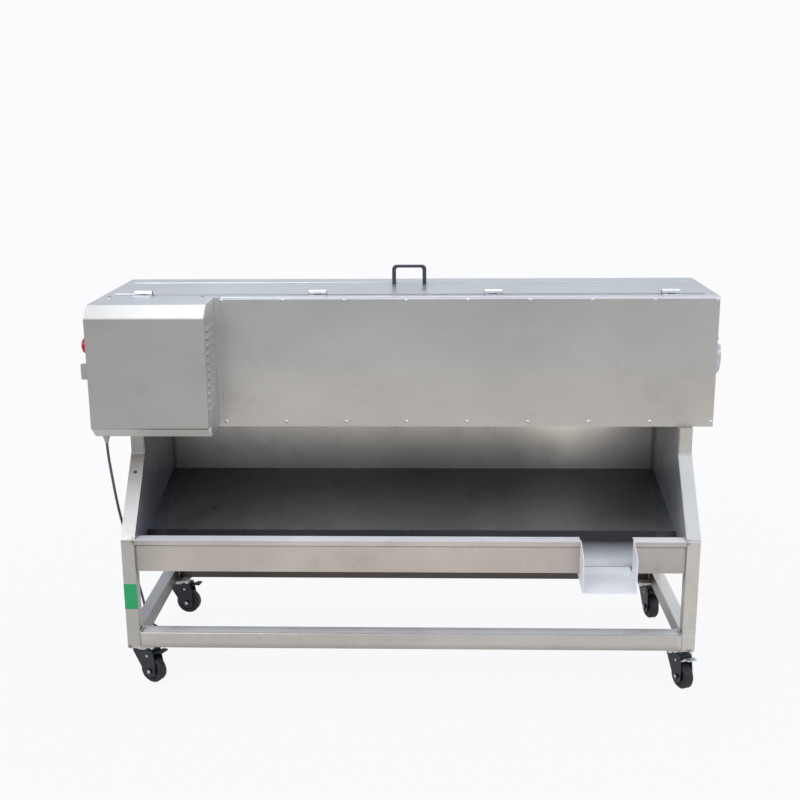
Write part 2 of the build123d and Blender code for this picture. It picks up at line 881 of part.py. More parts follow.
# Emergency stop: fixed body through the side wall
estop_face = house_left - estop_reach
ring_face = house_left - estop_ring_depth
stem_end = estop_face + estop_head_depth + estop_stem_length
with BuildPart() as estop_body:
    along_x(knob_y, estop_height, estop_ring_radius, ring_face, house_left)
    along_x(knob_y, estop_height, panel_hole_radius - hole_clearance, house_left, inner_left)
    block(
        (inner_left, inner_left + estop_block_depth),
        (knob_y - estop_block / 2, knob_y + estop_block / 2),
        (estop_height - estop_block / 2, estop_height + estop_block / 2),
    )
    along_x(
        knob_y,
        estop_height,
        estop_stem_radius + running_gap,
        ring_face - overrun,
        stem_end + estop_travel + body_gap,
        Mode.SUBTRACT,
    )
estop_body.part.label = "estop_body"
export_step(estop_body.part, "parts/estop_body.step")

# Emergency stop: red mushroom head and its stem
with BuildPart() as estop_button:
    with BuildSketch(Plane(origin=(0, knob_y, estop_height), x_dir=(1, 0, 0), z_dir=(0, -1, 0))) as mushroom:
        with BuildLine():
            ThreePointArc(
                (estop_face, 0),
                (estop_face + estop_dome * estop_dome_share, estop_head_radius * estop_crown_share),
                (estop_face + estop_dome, estop_head_radius - estop_dome / 2),
            )
            Polyline(
                (estop_face + estop_dome, estop_head_radius - estop_dome / 2),
                (estop_face + estop_dome + sheet, estop_head_radius),
                (estop_face + estop_head_depth - sheet, estop_head_radius),
                (estop_face + estop_head_depth, estop_ring_radius),
                (estop_face + estop_head_depth, estop_stem_radius),
                (stem_end, estop_stem_radius),
                (stem_end, 0),
                (estop_face, 0),
            )
        make_face()
    revolve(mushroom.sketch, Axis((0, knob_y, estop_height), (1, 0, 0)))
estop_button.part.label = "estop_button"
export_step(estop_button.part, "parts/estop_button.step")

# Rotary power switch: base plate outside, contact block inside
switch_face = house_left - switch_reach
base_face = house_left - switch_base_depth
switch_stem_end = base_face - body_gap + switch_stem_length
with BuildPart() as switch_body:
    with BuildSketch(Plane.YZ.offset(base_face)) as base_plate:
        with Locations((knob_y, switch_height)):
            RectangleRounded(switch_base_side, switch_base_side, tube_corner)
    extrude(base_plate.sketch, amount=switch_base_depth)
    along_x(knob_y, switch_height, panel_hole_radius - hole_clearance, house_left, inner_left)
    block(
        (inner_left, inner_left + switch_block_depth),
        (knob_y - switch_block / 2, knob_y + switch_block / 2),
        (switch_height - switch_block / 2, switch_height + switch_block / 2),
    )
    along_x(
        knob_y,
        switch_height,
        switch_stem_radius + running_gap,
        base_face - overrun,
        switch_stem_end + body_gap,
        Mode.SUBTRACT,
    )
switch_body.part.label = "switch_body"
export_step(switch_body.part, "parts/switch_body.step")

# Rotary power switch: the knob, a disc with an upright grip
disc_face = base_face - body_gap - switch_disc_depth
with BuildPart() as switch_knob:
    along_x(knob_y, switch_height, switch_disc_radius, disc_face, disc_face + switch_disc_depth)
    with BuildSketch(Plane.YZ.offset(switch_face)) as grip:
        with Locations((knob_y, switch_height)):
            SlotOverall(switch_grip_length, switch_grip_width, rotation=90)
    extrude(grip.sketch, amount=disc_face + switch_disc_depth - switch_face)
    fillet(switch_knob.edges().group_by(Axis.X)[0], switch_grip_round)
    along_x(knob_y, switch_height, switch_stem_radius, disc_face + switch_disc_depth, switch_stem_end)
switch_knob.part.label = "switch_knob"
export_step(switch_knob.part, "parts/switch_knob.step")

# Cable gland under the control box, tapered down to the cord
gland_bottom = box_bottom - gland_nut_height - gland_cone_height
with BuildPart() as cable_gland:
    with BuildSketch(Plane.XY.offset(box_bottom)) as gland_nut:
        with Locations((gland_x, gland_y)):
            RegularPolygon(gland_nut_radius, 6)
    extrude(gland_nut.sketch, amount=-gland_nut_height)
    with Locations((gland_x, gland_y, box_bottom - gland_nut_height - gland_cone_height / 2)):
        Cone(cord_radius + sheet / 2, gland_cone_radius, gland_cone_height)
    along_z(gland_x, gland_y, gland_hole_radius - hole_clearance, box_bottom, box_bottom + sheet)
    with BuildSketch(Plane.XY.offset(box_bottom + sheet)) as lock_nut:
        with Locations((gland_x, gland_y)):
            RegularPolygon(gland_nut_radius, 6)
    extrude(lock_nut.sketch, amount=gland_lock_height)
cable_gland.part.label = "cable_gland"
export_step(cable_gland.part, "parts/cable_gland.step")


def sprocket_points(x):
    """Outline of the chain wheel around one shaft, as (x, z) points."""
    points = []
    tooth_turn = 2 * pi / sprocket_teeth
    for i in range(sprocket_teeth):
        middle = i * tooth_turn
        for share, radius in (
            (-tooth_root_share, sprocket_radius - tooth_depth),
            (-tooth_tip_share, sprocket_radius + tooth_height),
            (tooth_tip_share, sprocket_radius + tooth_height),
            (tooth_root_share, sprocket_radius - tooth_depth),
        ):
            turn = middle + share * tooth_turn
            points.append((x + radius * cos(turn), drive_shaft_height + radius * sin(turn)))
    return points


# Waisted rollers: where the rubber changes its slope, as places along the shaft with their radius
rubber_front = chain_wall_y + sheet + roller_margin
rubber_back = rear_wall_y - sheet - roller_margin
rubber_steps = [
    (rubber_front, roller_radius),
    (rubber_front + roller_shoulder, roller_radius),
    (path_y - roller_waist_half, roller_waist),
    (path_y + roller_waist_half, roller_waist),
    (rubber_back - roller_shoulder, roller_radius),
    (rubber_back, roller_radius),
]
sprocket_y = cover_y + sprocket_inset
drive_shaft_start = cover_y - gearbox_depth - gearbox_hub_depth + drive_shaft_inset


def rubber_rings(x, height, bore):
    """Rubber rings side by side on one shaft, which together make a waisted roller."""
    rings = []
    for (start, start_radius), (end, end_radius) in zip(rubber_steps, rubber_steps[1:]):
        with BuildPart() as ring:
            with BuildSketch(Plane(origin=(x, 0, height), x_dir=(0, 1, 0), z_dir=(1, 0, 0))) as half:
                with BuildLine():
                    Polyline((start, bore), (start, start_radius), (end, end_radius), (end, bore), close=True)
                make_face()
            revolve(half.sketch, Axis((x, 0, height), (0, 1, 0)))
        rings.append(ring.part)
    return rings


# Feed rollers: steel shaft, chain wheel and rubber rings turn together; the first is the driven one
for i, x in enumerate(roller_x):
    shaft_start = drive_shaft_start if i == 0 else cover_y + feed_shaft_inset
    with BuildPart() as feed_shaft:
        along_y(x, drive_shaft_height, shaft_radius, shaft_start, rear_wall_y + feed_shaft_proud)
    with BuildPart() as chain_wheel:
        with BuildSketch(Plane.XZ.offset(-sprocket_y)) as wheel_outline:
            with BuildLine():
                Polyline(*sprocket_points(x), close=True)
            make_face()
        extrude(wheel_outline.sketch, amount=-sprocket_width)
        along_y(x, drive_shaft_height, hub_radius, sprocket_y - hub_length, sprocket_y)
        along_y(
            x,
            drive_shaft_height,
            shaft_radius,
            sprocket_y - hub_length - overrun,
            sprocket_y + sprocket_width + overrun,
            Mode.SUBTRACT,
        )
    rings = rubber_rings(x, drive_shaft_height, shaft_radius)
    feed_roller = Compound(children=[feed_shaft.part, chain_wheel.part, *rings])
    feed_roller.label = f"feed_roller_{i + 1}"
    export_step(feed_roller, f"parts/feed_roller_{i + 1}.step")

# Press rollers: each turns freely on a fixed shaft above its feed roller
for i, x in enumerate(roller_x):
    with BuildPart() as sleeve:
        along_y(x, press_shaft_height, sleeve_radius, rubber_front - sleeve_proud, rubber_back + sleeve_proud)
        along_y(
            x,
            press_shaft_height,
            shaft_radius + running_gap,
            rubber_front - overrun,
            rubber_back + overrun,
            Mode.SUBTRACT,
        )
    rings = rubber_rings(x, press_shaft_height, sleeve_radius)
    press_roller = Compound(children=[sleeve.part, *rings])
    press_roller.label = f"press_roller_{i + 1}"
    export_step(press_roller, f"parts/press_roller_{i + 1}.step")

# Fixed shafts of the press rollers, with a head behind and a nut in front
with BuildPart() as press_shafts:
    for x in roller_x:
        along_y(
            x, press_shaft_height, shaft_radius, chain_wall_y - press_nut_depth - sheet, rear_wall_y + sheet
        )
        along_y(x, press_shaft_height, press_head_radius, rear_wall_y, rear_wall_y + press_head_depth)
        with BuildSketch(Plane.XZ.offset(-chain_wall_y)) as shaft_nut:
            with Locations((x, press_shaft_height)):
                RegularPolygon(press_head_radius, 6)
        extrude(shaft_nut.sketch, amount=press_nut_depth)
press_shafts.part.label = "press_shafts"
export_step(press_shafts.part, "parts/press_shafts.step")

# Flange bearings of the feed shafts on both channel walls
with BuildPart() as shaft_bearings:
    for x in roller_x:
        for face, step in ((chain_wall_y, -1), (rear_wall_y, 1)):
            with BuildSketch(Plane.XZ.offset(-face)) as flange:
                with Locations((x, drive_shaft_height)):
                    RectangleRounded(bearing_plate, bearing_plate, bearing_corner)
            extrude(flange.sketch, amount=-step * bearing_plate_thick)
            limits = sorted((face, face + step * bearing_depth))
            along_y(x, drive_shaft_height, bearing_radius, limits[0], limits[1])
            along_y(
                x,
                drive_shaft_height,
                shaft_radius + running_gap,
                limits[0] - overrun,
                limits[1] + overrun,
                Mode.SUBTRACT,
            )
shaft_bearings.part.label = "shaft_bearings"
export_step(shaft_bearings.part, "parts/shaft_bearings.step")

# Drive chain around all five chain wheels, laid just outside their teeth
chain_inner = sprocket_radius + tooth_height + chain_gap
chain_middle_x = (roller_x[0] + roller_x[-1]) / 2
chain_run = roller_x[-1] - roller_x[0]
chain_front = sprocket_y + sprocket_width / 2 - chain_width / 2
with BuildPart() as drive_chain:
    with BuildSketch(Plane.XZ.offset(-chain_front)) as loop:
        with Locations((chain_middle_x, drive_shaft_height)):
            SlotCenterToCenter(chain_run, 2 * (chain_inner + chain_thick))
            SlotCenterToCenter(chain_run, 2 * chain_inner, mode=Mode.SUBTRACT)
    extrude(loop.sketch, amount=-chain_width)
drive_chain.part.label = "drive_chain"
export_step(drive_chain.part, "parts/drive_chain.step")

# Round collars that guide the vegetables in at the right end and out at the left end
with BuildPart() as end_collars:
    for wall, step in ((house_left, -1), (house_right, 1)):
        tube = sorted((wall + step * collar_reach, wall - step * (sheet + collar_inside)))
        ring = sorted((wall, wall + step * collar_flange_thick))
        along_x(path_y, path_height, collar_radius, tube[0], tube[1])
        along_x(path_y, path_height, collar_flange_radius, ring[0], ring[1])
        along_x(
            path_y, path_height, collar_radius - collar_wall, tube[0] - overrun, tube[1] + overrun, Mode.SUBTRACT
        )
end_collars.part.label = "end_collars"
export_step(end_collars.part, "parts/end_collars.step")

# Knife stations between the rollers: a plate across the channel with a round opening
knife_x = [(a + b) / 2 for a, b in zip(roller_x, roller_x[1:])]
with BuildPart() as knife_plates:
    for x in knife_x:
        block(
            (x - knife_plate_thick / 2, x + knife_plate_thick / 2),
            (chain_wall_y + sheet, rear_wall_y - sheet),
            (path_height - knife_plate_height / 2, path_height + knife_plate_height / 2),
        )
        along_x(path_y, path_height, knife_bore, x - overrun, x + overrun, Mode.SUBTRACT)
knife_plates.part.label = "knife_plates"
export_step(knife_plates.part, "parts/knife_plates.step")

# Blades set around each opening, their edges reaching into the path of the vegetable
with BuildPart() as knife_blades:
    for x in knife_x:
        for i in range(blade_count):
            turn = (i + 1 / 2) * 360 / blade_count
            station = Plane(
                origin=(x + knife_plate_thick / 2, path_y, path_height),
                x_dir=(0, cos(radians(turn)), sin(radians(turn))),
                z_dir=(1, 0, 0),
            )
            with BuildSketch(station) as blade:
                with Locations(((blade_tip + blade_root) / 2, 0)):
                    Rectangle(blade_root - blade_tip, blade_thick)
            extrude(blade.sketch, amount=blade_length)
knife_blades.part.label = "knife_blades"
export_step(knife_blades.part, "parts/knife_blades.step")

# Lid: a flat sheet over the opening, with a shallow tray below it that fits inside
lid_left = house_left + lid_inset_left
lid_right = house_right - lid_inset_right
with BuildPart() as lid:
    block((lid_left, lid_right), (front_y + lid_front, lid_back_y), (lid_under, lid_top))
    tray_x = (open_left + lid_tray_gap, open_right - lid_tray_gap)
    tray_y = (open_front + lid_tray_gap, open_back - lid_tray_gap)
    block(tray_x, tray_y, (lid_under - lid_tray_depth, lid_under))
    block(
        (tray_x[0] + sheet, tray_x[1] - sheet),
        (tray_y[0] + sheet, tray_y[1] - sheet),
        (lid_under - lid_tray_depth - overrun, lid_under),
        Mode.SUBTRACT,
    )
lid.part.label = "lid"
export_step(lid.part, "parts/lid.step")

# Lid handle: a flat black bow on two feet
handle_x = (house_left + house_right) / 2
handle_y = lid_back_y - handle_inset
with BuildPart() as lid_handle:
    with BuildSketch(Plane.XZ.offset(-handle_y - handle_depth / 2)) as bow:
        with Locations((handle_x, lid_top + handle_height / 2)):
            Rectangle(handle_width, handle_height)
        fillet(bow.vertices().group_by(Axis.Y)[-1], handle_corner)
        with Locations((handle_x, lid_top)):
            RectangleRounded(
                handle_width - 2 * handle_leg,
                2 * (handle_height - handle_bar),
                handle_inner_corner,
                mode=Mode.SUBTRACT,
            )
    extrude(bow.sketch, amount=handle_depth)
    handle_edges = lid_handle.edges().filter_by(GeomType.CIRCLE)
    fillet(handle_edges, handle_round)
lid_handle.part.label = "lid_handle"
export_step(lid_handle.part, "parts/lid_handle.step")

# Lid hinges: axis above the seam between the lid and the deck
hinge_y = front_y + lid_front - knuckle_radius - body_gap
hinge_z = lid_top + knuckle_radius - body_gap
knuckle_length = hinge_width * knuckle_share
leaf_inner = knuckle_radius + body_gap

with BuildPart() as deck_hinge_leaves:
    for x in hinge_x:
        block(
            (x - hinge_width / 2, x + hinge_width / 2),
            (hinge_y - leaf_reach - knuckle_radius, hinge_y - leaf_inner),
            (housing_top, housing_top + leaf_thick),
        )
        for start in (x - hinge_width / 2, x + hinge_width / 2 - knuckle_length + body_gap):
            end = start + knuckle_length - body_gap
            along_x(hinge_y, hinge_z, knuckle_radius, start, end)
            block(
                (start, end),
                (hinge_y - leaf_inner - leaf_thick, hinge_y),
                (housing_top, housing_top + leaf_thick),
            )
        along_x(hinge_y, hinge_z, hinge_pin_radius, x - hinge_width / 2, x + hinge_width / 2)
deck_hinge_leaves.part.label = "deck_hinge_leaves"
export_step(deck_hinge_leaves.part, "parts/deck_hinge_leaves.step")

with BuildPart() as lid_hinge_leaves:
    for x in hinge_x:
        block(
            (x - hinge_width / 2, x + hinge_width / 2),
            (hinge_y + leaf_inner, hinge_y + leaf_reach + knuckle_radius),
            (lid_top, lid_top + leaf_thick),
        )
        start = x - hinge_width / 2 + knuckle_length
        end = x + hinge_width / 2 - knuckle_length
        along_x(hinge_y, hinge_z, knuckle_radius, start, end)
        block((start, end), (hinge_y, hinge_y + leaf_inner + leaf_thick), (lid_top, lid_top + leaf_thick))
        along_x(
            hinge_y,
            hinge_z,
            hinge_pin_radius + running_gap,
            start - overrun,
            end + overrun,
            Mode.SUBTRACT,
        )
lid_hinge_leaves.part.label = "lid_hinge_leaves"
export_step(lid_hinge_leaves.part, "parts/lid_hinge_leaves.step")

# Caster top plates with their raceways, bolted under the frame's corners
plate_bottom = rail_bottom - caster_plate_thick
race_bottom = plate_bottom - raceway_height
crown_top = race_bottom - body_gap
with BuildPart() as caster_top_plates:
    for x, y in caster_places.values():
        with BuildSketch(Plane.XY.offset(plate_bottom)) as top_plate:
            with Locations((x, y)):
                RectangleRounded(caster_plate, caster_plate, caster_plate_corner)
        extrude(top_plate.sketch, amount=caster_plate_thick)
        along_z(x, y, raceway_radius, race_bottom, plate_bottom)
        kingpin_top = crown_top + kingpin_length
        along_z(x, y, kingpin_radius + running_gap, race_bottom - overrun, kingpin_top + body_gap, Mode.SUBTRACT)
        for dx, dy in caster_hole_offsets:
            along_z(
                x + dx, y + dy, bolt_hole_radius, plate_bottom - overrun, rail_bottom + overrun, Mode.SUBTRACT
            )
caster_top_plates.part.label = "caster_top_plates"
export_step(caster_top_plates.part, "parts/caster_top_plates.step")

# Bolts that hold the caster plates
with BuildPart() as caster_bolts:
    for x, y in caster_holes:
        with BuildSketch(Plane.XY.offset(plate_bottom)) as hexagon:
            with Locations((x, y)):
                RegularPolygon(caster_head_radius, 6)
        extrude(hexagon.sketch, amount=-caster_head_height)
        along_z(x, y, caster_bolt_radius, plate_bottom, plate_bottom + caster_bolt_length)
caster_bolts.part.label = "caster_bolts"
export_step(caster_bolts.part, "parts/caster_bolts.step")

# Casters: each has a swivelling fork, a wheel on the fork's axle and a brake pedal above the wheel
fork_outside = fork_inside + 2 * fork_wall
crown_bottom = crown_top - fork_crown_thick
boss_turn = radians(fork_boss_turn)
for place, (cx, cy) in caster_places.items():
    turn = radians(caster_turns[place])
    trail = (cos(turn), sin(turn), 0)
    sideways = (sin(turn), -cos(turn), 0)
    axle_point = (cx + caster_trail * trail[0], cy + caster_trail * trail[1], wheel_radius)
    pivot_point = (cx + pedal_pivot_forward * trail[0], cy + pedal_pivot_forward * trail[1], pedal_pivot_height)
    side = Plane(origin=(cx, cy, 0), x_dir=trail, z_dir=sideways)
    with BuildPart() as fork:
        with BuildSketch(side.offset(-fork_outside / 2)) as cheek:
            with BuildLine():
                boss_back = (
                    caster_trail - fork_boss_radius * cos(boss_turn),
                    wheel_radius - fork_boss_radius * sin(boss_turn),
                )
                boss_front = (
                    caster_trail + fork_boss_radius * cos(boss_turn),
                    wheel_radius - fork_boss_radius * sin(boss_turn),
                )
                Polyline(
                    boss_back,
                    (-fork_top_back, crown_bottom - overrun),
                    (-fork_top_back, crown_top),
                    (fork_top_front, crown_top),
                    (caster_trail + fork_boss_radius, wheel_radius + fork_boss_radius),
                    boss_front,
                )
                ThreePointArc(boss_front, (caster_trail, wheel_radius - fork_boss_radius), boss_back)
            make_face()
        extrude(cheek.sketch, amount=fork_outside)
        with BuildSketch(side.offset(-fork_inside / 2)) as throat:
            with Locations((0, (crown_bottom - wheel_radius) / 2)):
                Rectangle(2 * crown_top, crown_bottom + wheel_radius)
        extrude(throat.sketch, amount=fork_inside, mode=Mode.SUBTRACT)
        along_z(cx, cy, fork_crown_radius, crown_bottom, crown_top)
        along_z(cx, cy, kingpin_radius, crown_top, crown_top + kingpin_length)
        with BuildSketch(side.offset(-fork_outside / 2)) as axle_holes:
            with Locations((caster_trail, wheel_radius)):
                Circle(axle_radius)
            with Locations((pedal_pivot_forward, pedal_pivot_height)):
                Circle(pedal_pin_radius + running_gap)
        extrude(axle_holes.sketch, amount=fork_outside, mode=Mode.SUBTRACT)
    with BuildPart() as axle_bolt:
        with BuildSketch(side.offset(-fork_outside / 2)) as axle_shank:
            with Locations((caster_trail, wheel_radius)):
                Circle(axle_radius)
        extrude(axle_shank.sketch, amount=fork_outside)
        for offset_out, depth in ((-fork_outside / 2, -axle_head_height), (fork_outside / 2, axle_head_height)):
            with BuildSketch(side.offset(offset_out)) as axle_head:
                with Locations((caster_trail, wheel_radius)):
                    RegularPolygon(axle_head_radius, 6)
            extrude(axle_head.sketch, amount=depth)
    caster_fork = Compound(children=[fork.part, axle_bolt.part])
    caster_fork.label = f"caster_fork_{place}"
    export_step(caster_fork, f"parts/caster_fork_{place}.step")

    wheel_side = Plane(origin=axle_point, x_dir=sideways, z_dir=trail)
    spin = Axis(axle_point, sideways)
    with BuildPart() as wheel_hub:
        with BuildSketch(wheel_side) as hub_half:
            with BuildLine():
                Polyline(
                    (-wheel_width / 2, axle_radius + running_gap),
                    (-wheel_width / 2, 2 * axle_radius),
                    (-wheel_width / 2 + hub_groove, 2 * axle_radius + hub_groove),
                    (-wheel_width / 2 + hub_groove, hub_disc_radius),
                    (wheel_width / 2 - hub_groove, hub_disc_radius),
                    (wheel_width / 2 - hub_groove, 2 * axle_radius + hub_groove),
                    (wheel_width / 2, 2 * axle_radius),
                    (wheel_width / 2, axle_radius + running_gap),
                    close=True,
                )
            make_face()
        revolve(hub_half.sketch, spin)
    with BuildPart() as tyre:
        with BuildSketch(wheel_side) as tyre_half:
            with BuildLine():
                Polyline(
                    (wheel_width / 2 - tyre_round, wheel_radius),
                    (-wheel_width / 2 + tyre_round, wheel_radius),
                    (-wheel_width / 2, wheel_radius - tyre_round),
                    (-wheel_width / 2, hub_disc_radius),
                    (wheel_width / 2, hub_disc_radius),
                    (wheel_width / 2, wheel_radius - tyre_round),
                    close=True,
                )
            make_face()
        revolve(tyre_half.sketch, spin)
    caster_wheel = Compound(children=[wheel_hub.part, tyre.part])
    caster_wheel.label = f"caster_wheel_{place}"
    export_step(caster_wheel, f"parts/caster_wheel_{place}.step")

    with BuildPart() as brake_pedal:
        with BuildSketch(side.offset(-pedal_width / 2)) as lever:
            with Locations((pedal_pivot_forward, pedal_pivot_height)):
                Circle(pedal_barrel_radius)
            shoe_x = pedal_pivot_forward + shoe_length / 2 * cos(radians(shoe_turn))
            shoe_z = pedal_pivot_height + shoe_length / 2 * sin(radians(shoe_turn))
            with Locations((shoe_x, shoe_z)):
                Rectangle(shoe_length, shoe_width, rotation=shoe_turn)
            with BuildLine():
                lift = pedal_thick / 2
                Polyline(
                    (pedal_pivot_forward, pedal_pivot_height - lift),
                    (pedal_pivot_forward + pedal_reach - pedal_pad, pedal_pivot_height + pedal_rise - lift),
                    (pedal_pivot_forward + pedal_reach, pedal_pivot_height + pedal_rise - lift),
                    (pedal_pivot_forward + pedal_reach, pedal_pivot_height + pedal_rise + lift),
                    (pedal_pivot_forward + pedal_reach - pedal_pad, pedal_pivot_height + pedal_rise + lift),
                    (pedal_pivot_forward, pedal_pivot_height + lift),
                    close=True,
                )
            make_face()
        extrude(lever.sketch, amount=pedal_width)
        with BuildSketch(side.offset(-fork_outside / 2 - pedal_pin_proud)) as pin_circle:
            with Locations((pedal_pivot_forward, pedal_pivot_height)):
                Circle(pedal_pin_radius)
        extrude(pin_circle.sketch, amount=fork_outside + 2 * pedal_pin_proud)
    brake_pedal.part.label = f"brake_pedal_{place}"
    export_step(brake_pedal.part, f"parts/brake_pedal_{place}.step")

# Power cord: out of the gland, down beside the left leg, back and under the machine to its coil
cord_points = [
    (gland_x, gland_y, gland_bottom),
    (-889, -179, 700),
    (-888, -175, 628),
    (-884, -166, 545),
    (-881, -133, 472),
    (-881, -88, 398),
    (-882, -38, 322),
    (-883, 12, 248),
    (-884, 57, 178),
    (-886, 95, 118),
    (-886, 114, 73),
    (-879, 122, 33),
    (-848, 124, 8),
    (-800, 115, 4.2),
    (-732, 111, cord_radius),
    (-668, coil_y + coil_radius, cord_radius),
    (coil_x - coil_lead, coil_y + coil_radius, cord_radius),
]


def cord_radii(points):
    """An arc for each corner of the route, as large as its two runs allow."""
    radii = []
    for a, b, c in zip(points, points[1:], points[2:]):
        first = Vector(*b) - Vector(*a)
        second = Vector(*c) - Vector(*b)
        half_turn = radians(first.get_angle(second)) / 2
        radii.append(cord_arc_share * min(first.length, second.length) / tan(half_turn))
    return radii


radii = cord_radii(cord_points)
print("cord radii", [round(r, 1) for r in radii])
with BuildPart() as power_cord:
    with BuildLine() as cord_route:
        FilletPolyline(*cord_points, radius=radii)
    cord_wire = cord_route.wire()
    with BuildSketch(Plane(origin=cord_points[0], z_dir=cord_wire % 0)) as cord_section:
        Circle(cord_radius)
    sweep(cord_section.sketch, cord_wire)
cord_share = power_cord.part.volume / (pi * cord_radius**2 * cord_wire.length)
print("cord run length", round(cord_wire.length, 1), "volume share", round(cord_share, 4))
power_cord.part.label = "power_cord"
export_step(power_cord.part, "parts/power_cord.step")


def coil_station(quarter):
    """Point and direction of the coil after some quarter turns: in on the floor, then out on top."""
    total = 2 * coil_quarters
    inward = min(quarter, total - quarter)
    radius = coil_radius - coil_spacing * inward / 4
    if quarter <= coil_quarters - 1:
        level = cord_radius
    elif quarter >= coil_quarters + 1:
        level = cord_radius + coil_spacing
    else:
        level = cord_radius + coil_spacing / 2
    turn = pi / 2 - quarter * pi / 2
    point = Vector(coil_x + radius * cos(turn), coil_y + radius * sin(turn), level)
    inward_rate = -coil_spacing / 4 if quarter < coil_quarters else coil_spacing / 4
    if quarter in (0, coil_quarters, total):
        inward_rate = 0
    climb = coil_spacing / 2 if quarter == coil_quarters else 0
    step = pi / 2
    direction = Vector(
        radius * sin(turn) * step + inward_rate * cos(turn),
        -radius * cos(turn) * step + inward_rate * sin(turn),
        climb * 3 / 2,
    )
    return point, direction.normalized()


def biarc(first, second):
    """Two arcs that join two stations and share their direction where they meet."""
    (p0, t0), (p1, t1) = first, second
    span = p1 - p0
    both = t0 + t1
    turn = 2 * (1 - t0.dot(t1))
    reach = (-span.dot(both) + sqrt(span.dot(both) ** 2 + turn * span.dot(span))) / turn
    q0 = p0 + t0 * reach
    q1 = p1 - t1 * reach
    middle = (q0 + q1) * 0.5
    across = (q1 - q0).normalized()
    TangentArc(p0, middle, tangent=t0)
    TangentArc(middle, p1, tangent=across)


stations = [coil_station(i) for i in range(2 * coil_quarters + 1)]
coil_start = stations[0][0] - stations[0][1] * coil_lead
coil_end = stations[-1][0] + stations[-1][1] * coil_tail
with BuildPart() as cord_coil:
    with BuildLine() as coil_route:
        Line(coil_start, stations[0][0])
        for first, second in zip(stations, stations[1:]):
            biarc(first, second)
        Line(stations[-1][0], coil_end)
    coil_wire = coil_route.wire()
    with BuildSketch(Plane(origin=coil_start, z_dir=stations[0][1])) as coil_section:
        Circle(cord_radius)
    sweep(coil_section.sketch, coil_wire)
sample_count = 400
samples = [coil_wire @ (i / sample_count) for i in range(sample_count + 1)]
apart = int(sample_count * 4 * cord_radius / coil_wire.length) + 1
least = min((a - b).length for i, a in enumerate(samples) for b in samples[i + apart :])
coil_share = cord_coil.part.volume / (pi * cord_radius**2 * coil_wire.length)
print("coil length", round(coil_wire.length, 1), "volume share", round(coil_share, 4))
print("coil least gap", round(least - 2 * cord_radius, 2))
cord_coil.part.label = "cord_coil"
export_step(cord_coil.part, "parts/cord_coil.step")

# Plug at the end of the coil, lying on the floor
plug_start, plug_way = coil_end, stations[-1][1]
plug_plane = Plane(origin=plug_start, x_dir=(0, 0, 1), z_dir=plug_way)
with BuildPart() as power_plug:
    with BuildSketch(plug_plane) as neck_start:
        Circle(cord_radius + sheet / 2)
    with BuildSketch(plug_plane.offset(plug_neck_length)) as neck_end:
        Circle(plug_neck_radius)
    loft([neck_start.sketch.face(), neck_end.sketch.face()])
    with BuildSketch(plug_plane.offset(plug_neck_length)) as plug_outline:
        RectangleRounded(plug_thick - sheet / 2, plug_width, plug_corner)
    extrude(plug_outline.sketch, amount=plug_length)
    with BuildSketch(plug_plane.offset(plug_neck_length + plug_length)) as prongs:
        with Locations((0, -pin_spread), (0, pin_spread), (-pin_spread / 2, 0)):
            Rectangle(pin_thick, pin_width)
    extrude(prongs.sketch, amount=pin_length)
power_plug.part.label = "power_plug"
export_step(power_plug.part, "parts/power_plug.step")
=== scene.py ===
import json
import math

import bmesh
import bpy
from mathutils import Matrix, Vector


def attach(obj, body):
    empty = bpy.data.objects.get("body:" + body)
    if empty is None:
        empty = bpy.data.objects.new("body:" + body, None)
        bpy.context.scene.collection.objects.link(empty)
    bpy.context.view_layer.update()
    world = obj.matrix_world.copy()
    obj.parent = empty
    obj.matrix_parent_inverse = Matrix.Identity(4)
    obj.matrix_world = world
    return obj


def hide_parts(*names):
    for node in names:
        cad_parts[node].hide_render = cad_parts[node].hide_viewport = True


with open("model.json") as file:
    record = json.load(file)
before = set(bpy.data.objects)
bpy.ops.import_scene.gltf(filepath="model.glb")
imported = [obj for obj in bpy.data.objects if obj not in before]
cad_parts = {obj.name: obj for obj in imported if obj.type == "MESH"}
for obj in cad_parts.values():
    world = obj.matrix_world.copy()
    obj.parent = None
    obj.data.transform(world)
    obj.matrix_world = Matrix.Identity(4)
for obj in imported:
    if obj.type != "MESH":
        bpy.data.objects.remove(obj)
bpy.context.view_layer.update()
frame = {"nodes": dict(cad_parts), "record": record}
nodes = frame["nodes"]
scene = bpy.context.scene

# Sizes repeated from the part's source, in metres; x runs to the right, y to the back, z up
left_out, right_out = -0.846, 0.854
left_in, right_in = -0.806, 0.814
front_y, back_y = -0.26, 0.33
leg_size, rail_size = 0.04, 0.05
rim_z, rail_z, rail_top = 0.47, 0.125, 0.175
stub_front, stub_back, stub_z = -0.08, -0.04, 0.684
cover_y = -0.062
lid_top, deck_leaf_top = 1.1613, 1.1615
box_right = -0.574
hinge_x, hinge_y, hinge_z = (-0.793, -0.269, 0.255, 0.779), -0.0183, 1.168
caster_trail, wheel_z, pedal_forward, pedal_z = 0.03, 0.04, 0.024, 0.09
casters = {
    "front_left": (-0.806, -0.215, -25), "front_right": (0.814, -0.215, -68),
    "rear_left": (-0.806, 0.285, -10), "rear_right": (0.814, 0.285, -77),
}
screw_x = [-0.552 + i * 0.18275 for i in range(9)]
screw_z = (0.7795, 1.1505)
bolt_x, bolt_y, bolt_top = (-0.88, -0.604), -0.08, 1.1658
plug_place, slope_normal = (-0.826, -0.1205, 0.6358), (0, -0.765, 0.644)


def lin(r, g, b):
    """A colour as it looks, turned into the linear values that shaders use."""
    return [v / 12.92 if v <= 0.04045 else ((v + 0.055) / 1.055) ** 2.4 for v in (r, g, b)] + [1.0]


